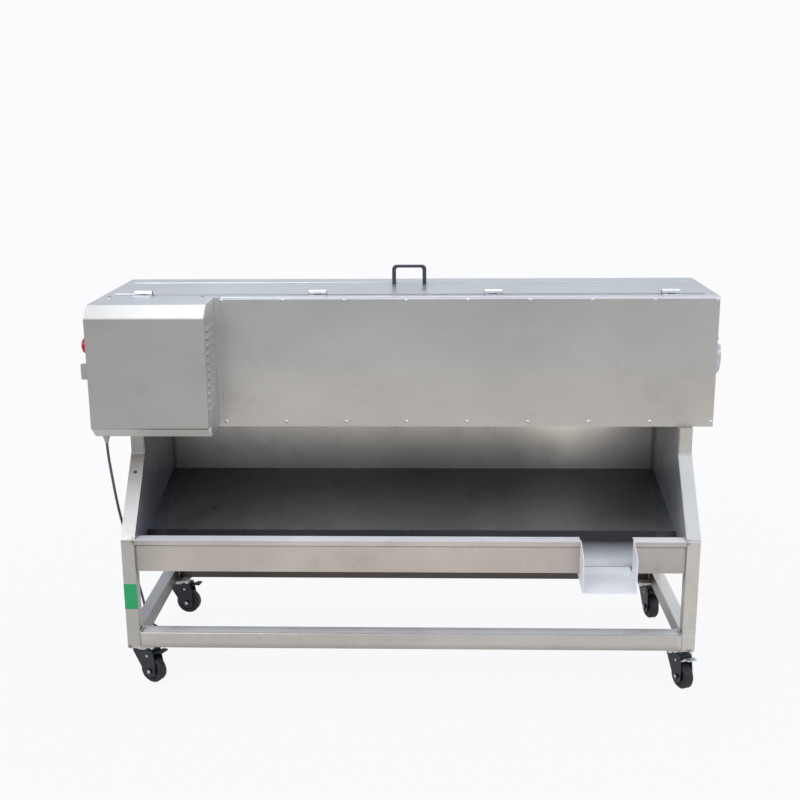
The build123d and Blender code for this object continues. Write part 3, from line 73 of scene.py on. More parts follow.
# Camera, set by fitting the frame's corners to the photo
yaw, pitch, roll = math.radians(1.788), math.radians(-14.033), math.radians(-0.425)
camera_place = (0.08046, -3.40838, 1.68337)
focal_pixels, picture_pixels, sensor_width = 1145.075, 800, 36.0
right = Vector((math.cos(yaw), math.sin(yaw), 0))
ahead = Vector((-math.sin(yaw) * math.cos(pitch), math.cos(yaw) * math.cos(pitch), math.sin(pitch)))
up = Vector((math.sin(yaw) * math.sin(pitch), -math.cos(yaw) * math.sin(pitch), math.cos(pitch)))
cam_x = right * math.cos(roll) + up * math.sin(roll)
cam_y = up * math.cos(roll) - right * math.sin(roll)
turn = Matrix((cam_x, cam_y, -ahead)).transposed().to_4x4()
cam_data = bpy.data.cameras.new("camera")
cam_data.sensor_width = sensor_width
cam_data.lens = focal_pixels / picture_pixels * sensor_width
camera = bpy.data.objects.new("camera", cam_data)
scene.collection.objects.link(camera)
camera.matrix_world = Matrix.Translation(camera_place) @ turn
scene.camera = camera
scene.view_settings.view_transform = "Standard"


# Node helpers
def node(tree, kind, inputs=None, **settings):
    """One node with its settings, its inputs set to values or linked to sockets."""
    n = tree.nodes.new(kind)
    for key, value in settings.items():
        setattr(n, key, value)
    for key, value in (inputs or {}).items():
        if isinstance(value, bpy.types.NodeSocket):
            tree.links.new(value, n.inputs[key])
        else:
            n.inputs[key].default_value = value
    return n


def noise(tree, where, scale, stretch=(1, 1, 1), detail=3.0, rough=0.5):
    """Noise on a piece's own coordinates, stretched along the axes."""
    m = node(tree, "ShaderNodeMapping", {"Vector": where, "Scale": stretch})
    n = node(tree, "ShaderNodeTexNoise", {
        "Vector": m.outputs[0], "Scale": scale, "Detail": detail, "Roughness": rough})
    return n.outputs[0]


def ramp(tree, value, low, high, out_low=0.0, out_high=1.0):
    n = node(tree, "ShaderNodeMapRange", {0: value, 1: low, 2: high, 3: out_low, 4: out_high})
    return n.outputs[0]


def maths(tree, operation, a, b=0.0):
    return node(tree, "ShaderNodeMath", {0: a, 1: b}, operation=operation).outputs[0]


def mix(tree, factor, a, b, blend="MIX"):
    n = node(tree, "ShaderNodeMix", {0: factor, 6: a, 7: b}, data_type="RGBA", blend_type=blend)
    return n.outputs[2]


def distance(tree, a, b):
    return node(tree, "ShaderNodeVectorMath", {0: a, 1: b}, operation="DISTANCE").outputs["Value"]


def object_place(tree):
    return node(tree, "ShaderNodeTexCoord").outputs["Object"]


def node_group(kind, name, inputs, outputs):
    """An empty group with named sockets, and the sockets of its input and output nodes."""
    tree = bpy.data.node_groups.new(name, kind)
    for label, socket, value in inputs:
        made = tree.interface.new_socket(name=label, in_out="INPUT", socket_type="NodeSocket" + socket)
        if value is not None:
            made.default_value = value
    for label, socket in outputs:
        tree.interface.new_socket(name=label, in_out="OUTPUT", socket_type="NodeSocket" + socket)
    return tree, tree.nodes.new("NodeGroupInput").outputs, tree.nodes.new("NodeGroupOutput").inputs


def use_group(tree, group, values):
    """A group placed in a material with its own values."""
    return node(tree, "ShaderNodeGroup", values, node_tree=group).outputs


# Rolled or brushed sheet: fine grain one way, soft mottling and smudges
rolled_sheet, given, result = node_group("ShaderNodeTree", "rolled sheet", [
    ("Colour", "Color", (0.5, 0.5, 0.5, 1)), ("Smudge Colour", "Color", (0.4, 0.4, 0.4, 1)),
    ("Grain Stretch", "Vector", (1, 60, 60)), ("Mottle", "Float", 0.05), ("Roughness", "Float", 0.35),
], [("Colour", "Color"), ("Roughness", "Float"), ("Grain", "Float"), ("Wave", "Float")])
t = rolled_sheet
smudge_share = 0.25
where = object_place(t)
grain = noise(t, where, 14.0, given["Grain Stretch"], 4.0, 0.6)
wave = noise(t, where, 2.3, (1, 1, 1.6), 3.0, 0.55)
smudge = noise(t, where, 9.0, (1, 1, 1), 5.0, 0.65)
shade = maths(t, "ADD", 1.0, maths(t, "MULTIPLY", given["Mottle"], ramp(t, wave, 0.3, 0.7, -2.2, 1.6)))
shade = maths(t, "MULTIPLY", shade, ramp(t, grain, 0.35, 0.65, 1.0, 0.95))
plain = node(t, "ShaderNodeVectorMath", {0: given["Colour"], "Scale": shade}, operation="SCALE").outputs[0]
patch = maths(t, "MULTIPLY", ramp(t, smudge, 0.55, 0.75), smudge_share)
t.links.new(mix(t, patch, plain, given["Smudge Colour"]), result["Colour"])
rough = maths(t, "ADD", given["Roughness"], ramp(t, smudge, 0.3, 0.75, -0.05, 0.09))
t.links.new(maths(t, "ADD", rough, ramp(t, grain, 0.3, 0.7, -0.04, 0.04)), result["Roughness"])
t.links.new(grain, result["Grain"])
t.links.new(wave, result["Wave"])

# Moulded plastic or rubber: fine grain, slight dust and a little variation in colour
moulded_skin, given, result = node_group("ShaderNodeTree", "moulded skin", [
    ("Colour", "Color", (0.1, 0.1, 0.1, 1)), ("Dust Colour", "Color", (0.2, 0.2, 0.2, 1)),
    ("Grain Scale", "Float", 900.0), ("Wear", "Float", 0.12), ("Roughness", "Float", 0.5),
], [("Colour", "Color"), ("Roughness", "Float"), ("Grain", "Float")])
t = moulded_skin
where = object_place(t)
dust = noise(t, where, 26.0, (1, 1, 1), 4.0, 0.6)
patch = maths(t, "MULTIPLY", ramp(t, dust, 0.45, 0.8), given["Wear"])
t.links.new(mix(t, patch, given["Colour"], given["Dust Colour"]), result["Colour"])
t.links.new(maths(t, "ADD", given["Roughness"], ramp(t, dust, 0.3, 0.7, -0.06, 0.08)), result["Roughness"])
t.links.new(noise(t, where, given["Grain Scale"], (1, 1, 1), 2.0, 0.5), result["Grain"])

# Heat tint: a patchy brown around one place where a weld was brushed off
heat_tint, given, result = node_group("ShaderNodeTree", "heat tint", [
    ("Colour", "Color", (0.5, 0.5, 0.5, 1)), ("Place", "Vector", (0, 0, 0)), ("Radius", "Float", 0.02),
], [("Colour", "Color")])
t = heat_tint
heat_brown, heat_patches = lin(0.42, 0.30, 0.24), 160.0
where = object_place(t)
near = ramp(t, maths(t, "DIVIDE", distance(t, where, given["Place"]), given["Radius"]), 1.0, 0.25)
near = maths(t, "MULTIPLY", near, ramp(t, noise(t, where, heat_patches), 0.3, 0.6))
t.links.new(mix(t, near, given["Colour"], heat_brown), result["Colour"])

# Band: 1 where a value lies between two limits, with a soft edge
band, given, result = node_group("ShaderNodeTree", "band", [
    ("Value", "Float", 0.0), ("Low", "Float", 0.0), ("High", "Float", 1.0), ("Soft", "Float", 0.001),
], [("Mask", "Float")])
t = band
rise = maths(t, "DIVIDE", maths(t, "SUBTRACT", given["Value"], given["Low"]), given["Soft"])
fall = maths(t, "DIVIDE", maths(t, "SUBTRACT", given["High"], given["Value"]), given["Soft"])
t.links.new(maths(t, "MULTIPLY", ramp(t, rise, -1.0, 1.0), ramp(t, fall, -1.0, 1.0)), result["Mask"])


# Finishes: one for each slot of the record, and a few for the scene's own pieces
finishes = {}
grain_ways = {"x": (0.9, 60, 60), "y": (60, 0.9, 60), "z": (60, 60, 0.9), "none": (12, 12, 12)}
smudge_fade = 0.9
dust_gain, dust_lift = 1.6, 0.02
grain_height, wave_height, moulded_height = 0.0004, 0.004, 0.0003
wave_strength = 0.12
# The floor's folded corners run inwards, and their shade is painted: their edge lies at a constant |x - mid_x| -
# slant * y
mid_x, corner_slant = 0.004, 0.1452


def new_material(name):
    m = bpy.data.materials.new(name)
    m.use_nodes = True
    m.node_tree.nodes.clear()
    out = m.node_tree.nodes.new("ShaderNodeOutputMaterial")
    shader = m.node_tree.nodes.new("ShaderNodeBsdfPrincipled")
    m.node_tree.links.new(shader.outputs[0], out.inputs[0])
    finishes[name] = m
    return m.node_tree, shader


def zone(tint, *limits, metal=None):
    """A tint of painted light and shade, and perhaps another shine, where all limits hold: (axis, low, high,
    softness).
    """
    return tint, metal, limits


def zone_places(tree, zones):
    """The values that limits are set on: the three axes, and S along the folded corners."""
    places = list(node(tree, "ShaderNodeSeparateXYZ", {0: object_place(tree)}).outputs)
    if any(limit[0] == "S" for _, _, limits in zones for limit in limits):
        across = maths(tree, "ABSOLUTE", maths(tree, "SUBTRACT", places[0], mid_x))
        slanted = maths(tree, "MULTIPLY", places[1], corner_slant)
        places.append(maths(tree, "SUBTRACT", across, slanted))
    return dict(zip("XYZS", places))


def tint_zones(tree, base, shine, zones):
    """The colour and the shine of a sheet after its zones."""
    places = zone_places(tree, zones)
    for tint, metal, limits in zones:
        mask = None
        for axis, low, high, soft in limits:
            one = use_group(tree, band, {"Value": places[axis], "Low": low, "High": high, "Soft": soft})["Mask"]
            mask = one if mask is None else maths(tree, "MULTIPLY", mask, one)
        base = mix(tree, mask, base, (*tint, 1), "MULTIPLY")
        if metal is not None:
            shine = node(tree, "ShaderNodeMix", {0: mask, 2: shine, 3: metal}).outputs[0]
    return base, shine


def sheet_steel(name, colour, rough, grain="x", depth=0.2, mottle=0.05,
                smudged=None, metal=1.0, zones=(), heat=()):
    """Sheet or tube with its grain along one axis, zones tinted with painted light and shade, and places with heat
    tint.
    """
    t, shader = new_material(name)
    made = use_group(t, rolled_sheet, {
        "Colour": lin(*colour), "Smudge Colour": [c * smudge_fade for c in lin(*(smudged or colour))[:3]] + [1],
        "Grain Stretch": grain_ways[grain], "Mottle": mottle, "Roughness": rough})
    base, shine = made["Colour"], metal
    if zones:
        base, shine = tint_zones(t, base, shine, zones)
    for place, radius in heat:
        base = use_group(t, heat_tint, {"Colour": base, "Place": place, "Radius": radius})["Colour"]
    t.links.new(base, shader.inputs["Base Color"])
    t.links.new(made["Roughness"], shader.inputs["Roughness"])
    if isinstance(shine, bpy.types.NodeSocket):
        t.links.new(shine, shader.inputs["Metallic"])
    else:
        shader.inputs["Metallic"].default_value = shine
    fine = node(t, "ShaderNodeBump", {"Strength": depth, "Distance": grain_height, "Height": made["Grain"]})
    soft = node(t, "ShaderNodeBump", {
        "Strength": wave_strength, "Distance": wave_height, "Height": made["Wave"], "Normal": fine.outputs[0]})
    t.links.new(soft.outputs[0], shader.inputs["Normal"])


def moulded(name, colour, rough, grain=900.0, depth=0.2, wear=0.12, coat=0.0):
    """Plastic, rubber, paint or casting."""
    t, shader = new_material(name)
    made = use_group(t, moulded_skin, {
        "Colour": lin(*colour),
        "Dust Colour": [min(1.0, c * dust_gain + dust_lift) for c in lin(*colour)[:3]] + [1],
        "Grain Scale": grain, "Wear": wear, "Roughness": rough})
    t.links.new(made["Colour"], shader.inputs["Base Color"])
    t.links.new(made["Roughness"], shader.inputs["Roughness"])
    shader.inputs["Coat Weight"].default_value = coat
    bump = node(t, "ShaderNodeBump", {"Strength": depth, "Distance": moulded_height, "Height": made["Grain"]})
    t.links.new(bump.outputs[0], shader.inputs["Normal"])


far = 9.0

panel_painted_light = [
    # Painted shading, darker towards the top and lighter towards the bottom, and a painted highlight on the pale
    # folded top edge
    zone((0.86, 0.88, 0.93), ("Z", 1.08, far, 0.16)),
    zone((1.08, 1.06, 1.03), ("Z", -far, 0.86, 0.12)),
    zone((2.0, 2.05, 2.1), ("Z", 1.1528, far, 0.0005), ("Y", -far, -0.0585, 0.0003),
         ("X", box_right + 0.006, far, 0.0005)),
]

box_side = ("X", box_right - 0.0004, far, 0.0003)
side_bevel = ("Y", -far, -0.0668, 0.0003)
box_painted_light = [
    # Painted light on the top, the upper bevel and the lower bevel
    zone((1.44, 1.49, 1.6), ("Z", 1.1585, far, 0.0003)),
    zone((2.1, 2.07, 2.06), ("Z", 1.1245, 1.1585, 0.0005), ("Y", -far, -0.1915, 0.0003)),
    zone((1.4, 1.35, 1.28), ("Z", -far, 0.7995, 0.0005), ("Y", -0.2338, -0.19, 0.0003), metal=0.1),
    # Painted light on the right side with the louvres, its upper end and its flange
    zone((1.55, 1.6, 1.75), box_side, side_bevel),
    zone((1.3, 1.32, 1.35), box_side, side_bevel, ("Z", 1.135, far, 0.025)),
    zone((1.27, 1.25, 1.23), box_side, ("Y", -0.0666, far, 0.0003), ("Z", -far, 1.158, 0.0003)),
]

on_rail = ("Z", 0.1745, 0.1755, 0.0002)
left_tubes = ("X", -far, -0.79, 0.002)
right_tubes = ("X", 0.8, far, 0.002)
inner_right = ("X", right_in - 0.0005, right_in + 0.0004, 0.0002)
leg_front, leg_height = ("Y", -far, -0.2, 0.002), ("Z", 0.13, 0.469, 0.002)
slope_depth = ("Y", -far, -0.05, 0.002)
frame_painted_light = [
    # Front face of the rear rail, in the shade of the trough
    zone((0.2, 0.19, 0.19), ("Y", 0.275, 0.2812, 0.0004), ("Z", 0.12, 0.1745, 0.0003),
         ("X", left_in, right_in, 0.002)),
    # Painted light and shade on the slanted tubes and stubs: a little darker and bluer
    zone((0.94, 0.97, 1.02), ("Z", 0.472, 0.68, 0.002), ("Y", -far, 0.05, 0.002)),
    # Painted light on the upper faces of the lower rails, most at the front, and painted shade along the back edge
    # of the front rail
    zone((1.06, 1.08, 1.12), on_rail),
    zone((1.2, 1.2, 1.22), on_rail, ("Y", -far, -0.235, 0.008)),
    zone((0.82, 0.82, 0.82), on_rail, ("Y", -0.222, -0.2, 0.01)),
    # Painted shade on the left front leg and the top of the left stub
    zone((0.84, 0.86, 0.87), ("X", -far, -0.8, 0.002), leg_front, leg_height),
    zone((0.7, 0.7, 0.71), left_tubes, ("Y", -0.25, 0.25, 0.01), ("Z", 0.685, far, 0.002)),
    # Painted shade on the inner faces of the right leg and the right rail, painted light on the upper face of that
    # rail
    zone((0.66, 0.655, 0.65), inner_right, ("Y", front_y + 0.003, -0.2195, 0.001), ("Z", 0.176, 0.469, 0.004)),
    zone((0.57, 0.56, 0.55), inner_right, ("Y", -0.21, 0.28, 0.002), ("Z", 0.12, 0.174, 0.001)),
    zone((0.75, 0.76, 0.77), inner_right, ("Y", -0.21, -0.09, 0.05), ("Z", 0.12, 0.174, 0.001)),
    zone((1.28, 1.27, 1.25), ("X", right_in - 0.009, far, 0.0006), ("Y", -0.205, 0.28, 0.01), on_rail),
    # Painted shade along the lower edge of the front rail
    zone((0.66, 0.65, 0.64), ("X", left_in + 0.0005, right_in - 0.0005, 0.0003),
         ("Y", -far, -0.2595, 0.0003), ("Z", -far, 0.134, 0.01)),
    # Painted shade on the left rail, then painted shading on the left slanted tube from dark at the top to pale at
    # the bottom
    zone((0.56, 0.57, 0.58), left_tubes, ("Y", -0.21, 0.28, 0.002), ("Z", 0.12, 0.176, 0.002)),
    zone((0.56, 0.57, 0.59), left_tubes, ("Y", -0.26, -0.05, 0.002), ("Z", 0.58, 0.7, 0.08)),
    zone((0.77, 0.77, 0.775), left_tubes, slope_depth, ("Z", 0.4705, 0.636, 0.014)),
    zone((1.36, 1.33, 1.3), left_tubes, slope_depth, ("Z", 0.648, 0.6835, 0.009)),
    # Painted light on the right front leg and the right slanted tube
    zone((1.07, 1.07, 1.08), right_tubes, leg_front, leg_height),
    zone((1.3, 1.3, 1.28), right_tubes, ("Y", -0.256, -0.05, 0.002), ("Z", 0.474, 0.68, 0.004)),
]

weld_heat = [
    ((left_in, front_y, 0.468), 0.014), ((right_in, front_y, 0.468), 0.014),
    ((left_out + 0.006, front_y, 0.124), 0.015), ((right_out - 0.018, front_y, 0.123), 0.013),
    ((left_in, front_y + 0.025, 0.175), 0.02), ((right_in, front_y + 0.025, 0.175), 0.02),
]

between = ("X", left_in + 0.0022, right_in - 0.0022, 0.0002)
below_rim = ("Z", -far, 0.4694, 0.0003)
apron = ("Y", -far, -0.244, 0.0005)
foot, foot_height = ("Y", -0.2195, -0.1106, 0.0006), ("Z", 0.404, 0.6, 0.022)
floor_depth, floor_height = ("Y", -0.1096, 0.2895, 0.0006), ("Z", 0.44, 0.525, 0.002)
corner = ("S", 0.766, far, 0.0015)
back_wall = ("Y", 0.285, 0.2915, 0.0005)
left_plate = ("X", left_in + 0.0012, left_in + 0.003, 0.0004)
right_plate = ("X", right_in - 0.003, right_in - 0.0012, 0.0004)
plate_front = ("Y", -0.2495, far, 0.0005), ("Y", -far, -0.15, 0.05)
plate_low = ("Y", -0.1, far, 0.07), ("Z", -far, 0.6, 0.06)
trough_painted_light = [
    # Apron with painted light on all of it, on the fold under the rim and on its middle, and painted shade at both
    # ends
    zone((1.16, 1.1, 1.06), apron, below_rim),
    zone((1.04, 1.06, 1.1), ("Y", -far, -0.2575, 0.0005), below_rim),
    zone((1.12, 1.1, 1.08), apron, ("X", -0.25, 0.35, 0.25), below_rim),
    zone((0.74, 0.76, 0.78), apron, ("X", -far, -0.75, 0.05), below_rim),
    zone((0.87, 0.88, 0.9), apron, ("X", 0.664, far, 0.002), below_rim),
    # Pale upper face of the rim: a painted reflection of the sky
    zone((1.95, 2.02, 2.25), ("Z", 0.4695, 0.48, 0.0003), ("Y", -far, -0.215, 0.001), between, metal=0.0),
    # Steep foot of the floor, painted light below and painted shade above, then painted light on the floor and
    # painted shade and light on the folded corners of both
    zone((1.1, 1.17, 1.29), foot, between, ("Z", 0.36, 0.6, 0.001)),
    zone((0.068, 0.068, 0.072), foot, between, foot_height),
    zone((2.03, 2.12, 2.42), floor_depth, between, floor_height),
    zone((0.82, 0.83, 0.87), corner, floor_depth, between, floor_height),
    zone((1.5, 1.52, 1.56), corner, foot, between, foot_height),
    # Painted shade on the floor and the back wall, darker towards their meeting edge
    zone((0.18, 0.18, 0.19), ("Y", 0.08, 0.2895, 0.19), between, floor_height),
    zone((0.5, 0.52, 0.53), ("Y", 0.2, far, 0.08), between, ("Z", -far, 0.62, 0.09)),
    # Painted light in bright patches on the back wall, painted shade at its ends
    zone((1.9, 1.84, 1.78), back_wall, ("X", 0.42, 0.64, 0.09), ("Z", 0.57, far, 0.11)),
    zone((1.42, 1.35, 1.27), back_wall, ("X", -0.4, 0.62, 0.16), ("Z", 0.655, far, 0.07)),
    zone((0.55, 0.55, 0.56), back_wall, ("X", -far, left_in + 0.012, 0.004)),
    zone((0.55, 0.55, 0.56), back_wall, ("X", right_in - 0.012, far, 0.004)),
    # Painted shade on the inner faces of the end plates, more on their lower rear, and painted light on their
    # front
    zone((0.4, 0.44, 0.5), left_plate, ("Y", -0.25, far, 0.001), metal=0.25),
    zone((0.6, 0.64, 0.7), right_plate, ("Y", -0.25, far, 0.001), metal=0.25),
    zone((0.62, 0.66, 0.74), left_plate, *plate_low),
    zone((0.62, 0.66, 0.7), right_plate, *plate_low),
    zone((1.6, 1.6, 1.65), left_plate, *plate_front),
    zone((1.6, 1.6, 1.65), right_plate, *plate_front),
]

# Back part of the chute, beside the foot, with a faint warm cast: a painted shade, now slight
chute_painted_shade = [zone((1.0, 1.0, 0.98), ("Y", -0.211, far, 0.002))]

sheet_steel("panel_steel", (0.745, 0.727, 0.70), 0.42, "x", 0.2, 0.04, (0.66, 0.63, 0.60), zones=panel_painted_light)
sheet_steel("box_steel", (0.675, 0.665, 0.643), 0.42, "x", 0.2, 0.04, (0.60, 0.58, 0.55), zones=box_painted_light)
sheet_steel("deck_steel", (0.79, 0.793, 0.79), 0.36, "x", 0.2, 0.03)
sheet_steel("frame_steel", (0.78, 0.755, 0.72), 0.34, "none", 0.15, 0.05, (0.66, 0.61, 0.56),
            zones=frame_painted_light, heat=weld_heat)
sheet_steel("trough_steel", (0.72, 0.70, 0.67), 0.33, "z", 0.2, 0.06, (0.5, 0.47, 0.44), zones=trough_painted_light)
# The chute is near-white and unmetallic: a painted reflection of the bright surroundings on its steel
sheet_steel("chute_steel", (0.965, 0.965, 0.975), 0.38, "z", 0.12, 0.0, (0.9, 0.9, 0.9), 0.0, zones=chute_painted_shade)
sheet_steel("inner_steel", (0.72, 0.72, 0.72), 0.36, "x", 0.2, 0.05)
sheet_steel("bright_screws", (0.90, 0.90, 0.89), 0.25, "none", 0.05, 0.03)
sheet_steel("hinge_steel", (0.90, 0.90, 0.91), 0.3, "x", 0.1, 0.02)
sheet_steel("caster_zinc", (0.74, 0.75, 0.76), 0.32, "none", 0.1, 0.08, (0.5, 0.46, 0.4))
moulded("caster_black", (0.10, 0.105, 0.12), 0.38, 500, 0.15, 0.25)
moulded("caster_tyre", (0.09, 0.095, 0.105), 0.55, 700, 0.3, 0.3)
moulded("pedal_black", (0.09, 0.095, 0.11), 0.5, 700, 0.25, 0.2)
moulded("handle_plastic", (0.195, 0.22, 0.265), 0.5, 1200, 0.3, 0.15)
moulded("grey_plastic", (0.66, 0.64, 0.61), 0.5, 900, 0.2, 0.15)
moulded("red_plastic", (0.74, 0.03, 0.14), 0.36, 900, 0.08, 0.03, 0.12)
moulded("cord_sheath", (0.30, 0.27, 0.31), 0.5, 1400, 0.2, 0.2)
moulded("gearbox_casting", (0.42, 0.48, 0.54), 0.45, 220, 0.5, 0.1)
moulded("contactor_plastic", (0.36, 0.36, 0.38), 0.5, 900, 0.2, 0.1)
sheet_steel("steel", (0.78, 0.78, 0.79), 0.28, "none", 0.1, 0.04)
moulded("roller_rubber", (0.36, 0.52, 0.42), 0.6, 600, 0.35, 0.1)
sheet_steel("weld_bead", (0.86, 0.85, 0.84), 0.3, "none", 0.1, 0.05, (0.6, 0.5, 0.42))
moulded("label_green", (0.09, 0.62, 0.36), 0.42, 400, 0.1, 0.2)
# pin_end is dark; on the screw recesses and the bolt sockets its darkness is painted shade
moulded("pin_end", (0.24, 0.24, 0.25), 0.4, 500, 0.1, 0.15)
for part in frame["record"]["subparts"]:
    piece = nodes[part["node"]]
    piece.data.materials.clear()
    piece.data.materials.append(finishes[part["material_slot"]])

# Power cord: one smooth curve from the gland to the plug, its put-away length wound into the coil
cord_radius = 0.004
route = [
    (-0.889, -0.179, 0.7456), (-0.888, -0.179, 0.708), (-0.881, -0.176, 0.636), (-0.875, -0.166, 0.555),
    (-0.872, -0.138, 0.481), (-0.873, -0.091, 0.405), (-0.878, -0.038, 0.322), (-0.883, 0.012, 0.248),
    (-0.884, 0.057, 0.178), (-0.886, 0.095, 0.118), (-0.886, 0.114, 0.073), (-0.879, 0.122, 0.033),
    (-0.848, 0.124, 0.008), (-0.8, 0.115, 0.0042), (-0.732, 0.111, 0.004), (-0.668, 0.108, 0.004),
]
coil_x, coil_y, coil_radius, coil_step = -0.596, 0.058, 0.05, 0.0086
quarters, quarter_points = 18, 3
climb_start, climb_quarters = 8, 2
control_reach = 1.035  # the curve runs inside its control points
coil_points = []
for i in range(quarters * quarter_points + 1):
    q = i / quarter_points
    r = coil_radius - coil_step * min(q, quarters - q) / 4
    if 0 < i < quarters * quarter_points:
        r *= control_reach
    climb = min(1.0, max(0.0, (q - climb_start) / climb_quarters))
    a = math.pi / 2 - q * math.pi / 2
    coil_points.append((coil_x + r * math.cos(a), coil_y + r * math.sin(a), cord_radius + coil_step * climb))
lead_in = [(coil_x - 0.01, coil_y + coil_radius, cord_radius)]
tail = [(coil_x - reach, coil_y - coil_radius, cord_radius + coil_step) for reach in (0.03, 0.066)]
cord_points = route + lead_in + coil_points + tail
curve = bpy.data.curves.new("power_cord_line", "CURVE")
curve.dimensions = "3D"
spline = curve.splines.new("NURBS")
spline.points.add(len(cord_points) - 1)
for p, co in zip(spline.points, cord_points):
    p.co = (*co, 1.0)
spline.order_u = 3
spline.use_endpoint_u = True
spline.resolution_u = 8
curve.bevel_depth = cord_radius
curve.bevel_resolution = 4
curve.use_fill_caps = True
cord = bpy.data.objects.new("power_cord_line", curve)
scene.collection.objects.link(cord)
curve.materials.append(finishes["cord_sheath"])
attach(cord, "machine")
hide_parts("power_cord", "cord_coil")


# Repeated small pieces, grown on points or along lines by geometry nodes
def repeat_tree(name, inputs):
    return node_group(
        "GeometryNodeTree", name, [("Geometry", "Geometry", None)] + inputs + [("Finish", "Material", None)],
        [("Geometry", "Geometry")])


def finish_tree(tree, given, result, instances, smooth=True):
    """Instances made real, shaded smooth if they are round, and given their finish."""
    made = node(tree, "GeometryNodeRealizeInstances", {0: instances}).outputs[0]
    if smooth:
        made = node(tree, "GeometryNodeSetShadeSmooth", {0: made}).outputs[0]
    done = node(tree, "GeometryNodeSetMaterial", {"Geometry": made, "Material": given["Finish"]}).outputs[0]
    tree.links.new(done, result["Geometry"])


# Weld bead: overlapping ripples along each line
bead_tree, given, result = repeat_tree("weld bead", [
    ("Ripple", "Float", 0.0014), ("Width", "Float", 0.004), ("Seed", "Int", 3)])
lines = node(bead_tree, "GeometryNodeMeshToCurve", {0: given["Geometry"]}).outputs[0]
dots = node(bead_tree, "GeometryNodeCurveToPoints", {"Curve": lines, "Length": given["Ripple"]},
            mode="LENGTH").outputs
ripple = node(bead_tree, "GeometryNodeMeshUVSphere", {
    "Segments": 8, "Rings": 5, "Radius": given["Width"]}).outputs[0]
uneven = node(bead_tree, "FunctionNodeRandomValue", {
    0: (0.42, 0.42, 0.3), 1: (0.56, 0.56, 0.42), "Seed": given["Seed"]}, data_type="FLOAT_VECTOR").outputs[0]
beads = node(bead_tree, "GeometryNodeInstanceOnPoints", {
    "Points": dots["Points"], "Instance": ripple, "Rotation": dots["Rotation"], "Scale": uneven}).outputs[0]
finish_tree(bead_tree, given, result, beads)

# Domed heads: half-sunk domes that face one way
dome_tree, given, result = repeat_tree("domed heads", [
    ("Radius", "Float", 0.003), ("Height", "Float", 0.001), ("Way", "Vector", (0, 0, 1))])
ball = node(dome_tree, "GeometryNodeMeshUVSphere", {"Segments": 20, "Rings": 10, "Radius": 1.0}).outputs[0]
facing = node(dome_tree, "FunctionNodeAlignRotationToVector", {"Vector": given["Way"]}, axis="Z").outputs[0]
shape = node(dome_tree, "ShaderNodeCombineXYZ", {
    0: given["Radius"], 1: given["Radius"], 2: given["Height"]}).outputs[0]
domes = node(dome_tree, "GeometryNodeInstanceOnPoints", {
    "Points": given["Geometry"], "Instance": ball, "Rotation": facing, "Scale": shape}).outputs[0]
finish_tree(dome_tree, given, result, domes)

# Cross recess: two bars set into each screw's head, whose dark finish is a painted shade of the recess
cross_tree, given, result = repeat_tree("cross recess", [
    ("Length", "Float", 0.005), ("Width", "Float", 0.0011)])
both = node(cross_tree, "GeometryNodeJoinGeometry")
for wide, high in (("Length", "Width"), ("Width", "Length")):
    size = node(cross_tree, "ShaderNodeCombineXYZ", {0: given[wide], 1: given["Width"], 2: given[high]}).outputs[0]
    bar = node(cross_tree, "GeometryNodeMeshCube", {"Size": size}).outputs[0]
    cross_tree.links.new(bar, both.inputs[0])
crosses = node(cross_tree, "GeometryNodeInstanceOnPoints", {
    "Points": given["Geometry"], "Instance": both.outputs[0]}).outputs[0]
finish_tree(cross_tree, given, result, crosses, smooth=False)


def grow(name, tree, points, edges, values, finish, body="machine"):
    """Run a tree once on some points or lines, and keep the result as a plain mesh."""
    mesh = bpy.data.meshes.new(name)
    mesh.from_pydata(points, edges, [])
    obj = bpy.data.objects.new(name, mesh)
    scene.collection.objects.link(obj)
    modifier = obj.modifiers.new("grow", "NODES")
    modifier.node_group = tree
    sockets = {item.name: item.identifier for item in tree.interface.items_tree if item.in_out == "INPUT"}
    for label, value in (values | {"Finish": finishes[finish]}).items():
        modifier[sockets[label]] = value
    graph = bpy.context.evaluated_depsgraph_get()
    plain = bpy.data.meshes.new_from_object(obj.evaluated_get(graph))
    obj.modifiers.clear()
    obj.data = plain
    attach(obj, body)


def grow_domes(name, points, radius, height, way, finish, body="machine"):
    grow(name, dome_tree, points, [], {"Radius": radius, "Height": height, "Way": way}, finish, body)


# Welds where the tubes meet, short of their rounded corners
corner_gap, edge_gap, end_gap = 0.004, 0.001, 0.003
lines = []
for inner, outer, step in ((left_in, left_out, 1), (right_in, right_out, -1)):
    for face, way in ((front_y, 1), (back_y, -1)):
        leg, rail, edge = face + way * corner_gap, face + way * rail_size, face + way * leg_size
        lines.append(((inner, leg, rail_top), (inner, rail, rail_top)))
        lines.append(((outer + step * corner_gap, edge, rail_top), (inner, edge, rail_top)))
        lines.append(((inner, rail, rail_top), (inner, rail, rail_z + corner_gap)))
    lines.append(((outer, front_y + corner_gap, rim_z), (outer, front_y + leg_size - corner_gap, rim_z)))
    lines.append(((outer, stub_front + edge_gap, stub_z), (outer, stub_back - edge_gap, stub_z)))
    lines.append(((outer + step * end_gap, stub_front, stub_z), (inner - step * end_gap, stub_front, stub_z)))
    lines.append(((outer + step * end_gap, front_y, rim_z), (inner - step * end_gap, front_y, rim_z)))
points = [p for line in lines for p in line]
edges = [(2 * i, 2 * i + 1) for i in range(len(lines))]
grow("frame_welds", bead_tree, points, edges, {"Ripple": 0.0014, "Width": 0.004, "Seed": 3},
     "weld_bead")

# Ground weld across the front of the right leg
ground_z = rail_top + 0.015
points = [(right_in + edge_gap, front_y, ground_z), (right_out - corner_gap, front_y, ground_z)]
grow("leg_weld", bead_tree, points, [(0, 1)], {"Ripple": 0.001, "Width": 0.0026, "Seed": 5},
     "weld_bead")

